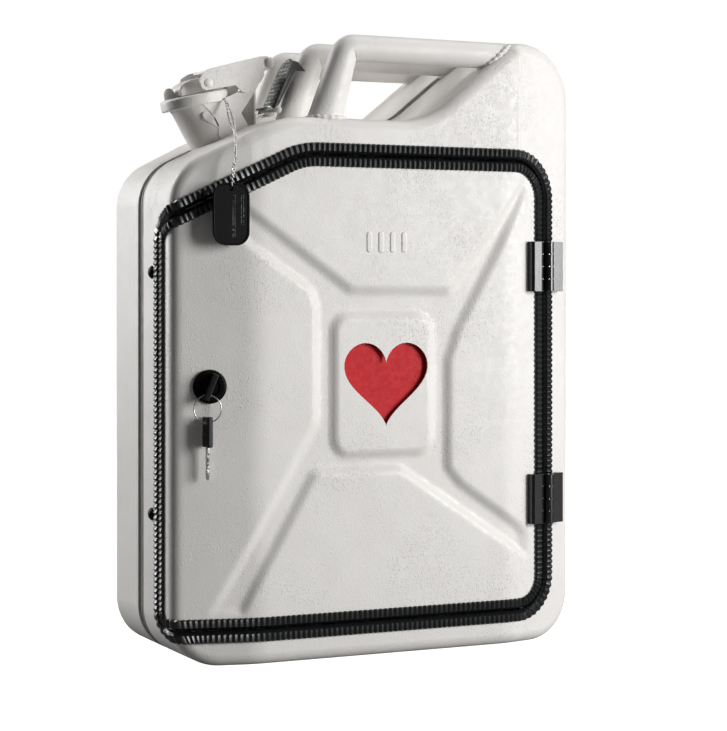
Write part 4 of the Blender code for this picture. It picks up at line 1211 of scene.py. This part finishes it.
piece("lock_face_ring", on_lock(turned_mm([
    (7.3, 1.2), (7.6, 2.9), (8.4, 3.2), (10.6, 3.2), (11.8, 2.9), (12.6, 2.1), (12.8, 1.2), (12.8, 0.3),
    (9.3, 0.3), (9.3, -26), (7.3, -26), (7.3, 1.2)])), TAG_BLACK, "door", ["lock_housing"])
piece("lock_plug_face", on_lock(turned_mm([
    (0, 2.2), (6.2, 2.2), (6.9, 1.6), (6.9, -27), (0, -27)])), TAG_BLACK, "lock_core", ["lock_plug"])
piece("lock_back_nut", on_lock(turned_mm([
    (9.6, -1.5), (12.6, -1.5), (13, -2), (13, -5.6), (12.6, -6), (9.6, -6), (9.6, -1.5)], 6)),
    STEEL, "door", ["lock_nut"], sharp=20)


def block(low, high, width, segments=3):
    bm = bmesh.new()
    bmesh.ops.create_cube(bm, size=1)
    low, high = Vector(low) * MM, Vector(high) * MM
    bmesh.ops.scale(bm, vec=high - low, verts=bm.verts)
    bmesh.ops.translate(bm, vec=(low + high) / 2, verts=bm.verts)
    soften(bm, width * MM, segments, 30)
    return bm


KEY_TILT = math.radians(22)
key = cut(block((-2.2, -10.5, 2.3), (2.2, 10.5, 11), 0.9),
          [cutter("slot", block((-5, -9, 5.2), (5, -4.6, 9), 0.8))])
piece("key_head_in_lock", on_lock(key, -KEY_TILT), KEY_BLACK, "lock_core", ["key_in_lock"])

# %% [markdown]
# The split ring is wire wound one and a quarter times. The spare key hangs from it, with ribs on
# its head and its bitting cut in steps.

# %% Ring and spare key
ring_low, ring_high = (Vector(c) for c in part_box("key_ring"))
ring_middle = (ring_low + ring_high) / 2
ring_radius = (ring_high.z - ring_low.z) / 2 - 0.7 * MM
facing = Matrix.Rotation(-FACET, 4, "Z") @ FACE_FRONT
turns = []
for k in range(150):
    angle = 2 * math.pi * 1.25 * k / 150
    spread = 0.36 * MM * (2 * k / 149 - 1)
    turns.append(ring_middle + facing.to_3x3() @ Vector((math.cos(angle) * ring_radius,
                                                          math.sin(angle) * ring_radius, spread)))
piece("split_key_ring", loft(tube_rings(turns, lambda i: 0.48 * MM, 10)), STEEL, "ring", ["key_ring"],
      sharp=60)

hang = (Matrix.Translation(ring_middle - Vector((0, 0, ring_radius)))
        @ Matrix.Rotation(math.radians(17) - FACET, 4, "Z"))
head = cut(block((-2.2, -5.6, -18.4), (2.2, 5.6, 4.4), 1.1),
           [cutter("eye", block((-5, -3.4, -1.8), (5, 3.4, 2.2), 0.8))])
piece("spare_key_moulded_head", placed(head, hang), KEY_BLACK, "spare_key", ["spare_key_head"])
grips = bmesh.new()
for k in range(5):
    for side in (-1, 1):
        add_cube(grips, hang @ Matrix.Translation(Vector((side * 2.2, 0, -5 - 2.4 * k)) * MM)
                 @ Matrix.Diagonal((0.5 * MM, 7 * MM, 1.1 * MM, 1)))
soften(grips, 0.2 * MM, 2, 30)
piece("spare_key_grip_ribs", grips, KEY_BLACK, "spare_key")
bits = [(-2, -20.8), (-2, -25), (-1.1, -26), (-1.1, -28), (-1.8, -29), (-0.7, -31), (-0.7, -33),
        (-1.5, -34.2), (-1.5, -36), (-0.9, -37), (-0.9, -39.4), (-1.7, -40.6), (-0.6, -45), (0.4, -45),
        (2, -42.6), (2, -20.8)]
blade = slab([(-0.9 * MM, y * MM, (z + 2.2) * MM) for y, z in bits], (1.8 * MM, 0, 0))
soften(blade, 0.15 * MM, 1, 40)
piece("spare_key_cut_blade", placed(blade, hang), STEEL, "spare_key", ["spare_key_blade"], sharp=30)

# %% [markdown]
# ## Hinge pins and screws
# The last small parts: the pins in the hinge knuckles and the two domed screws in the side wall.

# %% Pins and screws
for which in ("upper", "lower"):
    low, high = (Vector(c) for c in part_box(f"hinge_{which}_pin"))
    half = (high.z - low.z) / 2 / MM
    pin = turned_mm([(0, half), (0.9, half), (1.3, half - 0.5), (1.3, 0.5 - half), (0.9, -half),
                     (0, -half)], 24)
    piece(f"hinge_{which}_steel_pin", placed(pin, Matrix.Translation((low + high) / 2)), STEEL, "can",
          [f"hinge_{which}_pin"])
    low, high = (Vector(c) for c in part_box(f"strike_screw_{which}"))
    place = Vector((can_low.x, (low.y + high.y) / 2, (low.z + high.z) / 2))
    screw = turned_mm([(0, 3.1), (1.6, 3.0), (3.2, 2.4), (4.4, 1.3), (5, 0.4), (4.9, 0.1), (2, 0.1),
                       (2, -6), (0, -6)], 36)
    screw = placed(screw, Matrix.Translation(place) @ Matrix.Rotation(-math.pi / 2, 4, "Y"))
    piece(f"side_wall_screw_{which}", screw, TAG_BLACK, "can", [f"strike_screw_{which}"])

# %% Finishes on the frame's parts
for node in frame["nodes"].values():
    kind = next(row["material_slot"] for row in frame["record"]["subparts"] if row["node"] == node.name)
    finish = next(f for f, slot in SLOTS.items() if slot == kind)
    node.data.materials.clear()
    node.data.materials.append(finish)
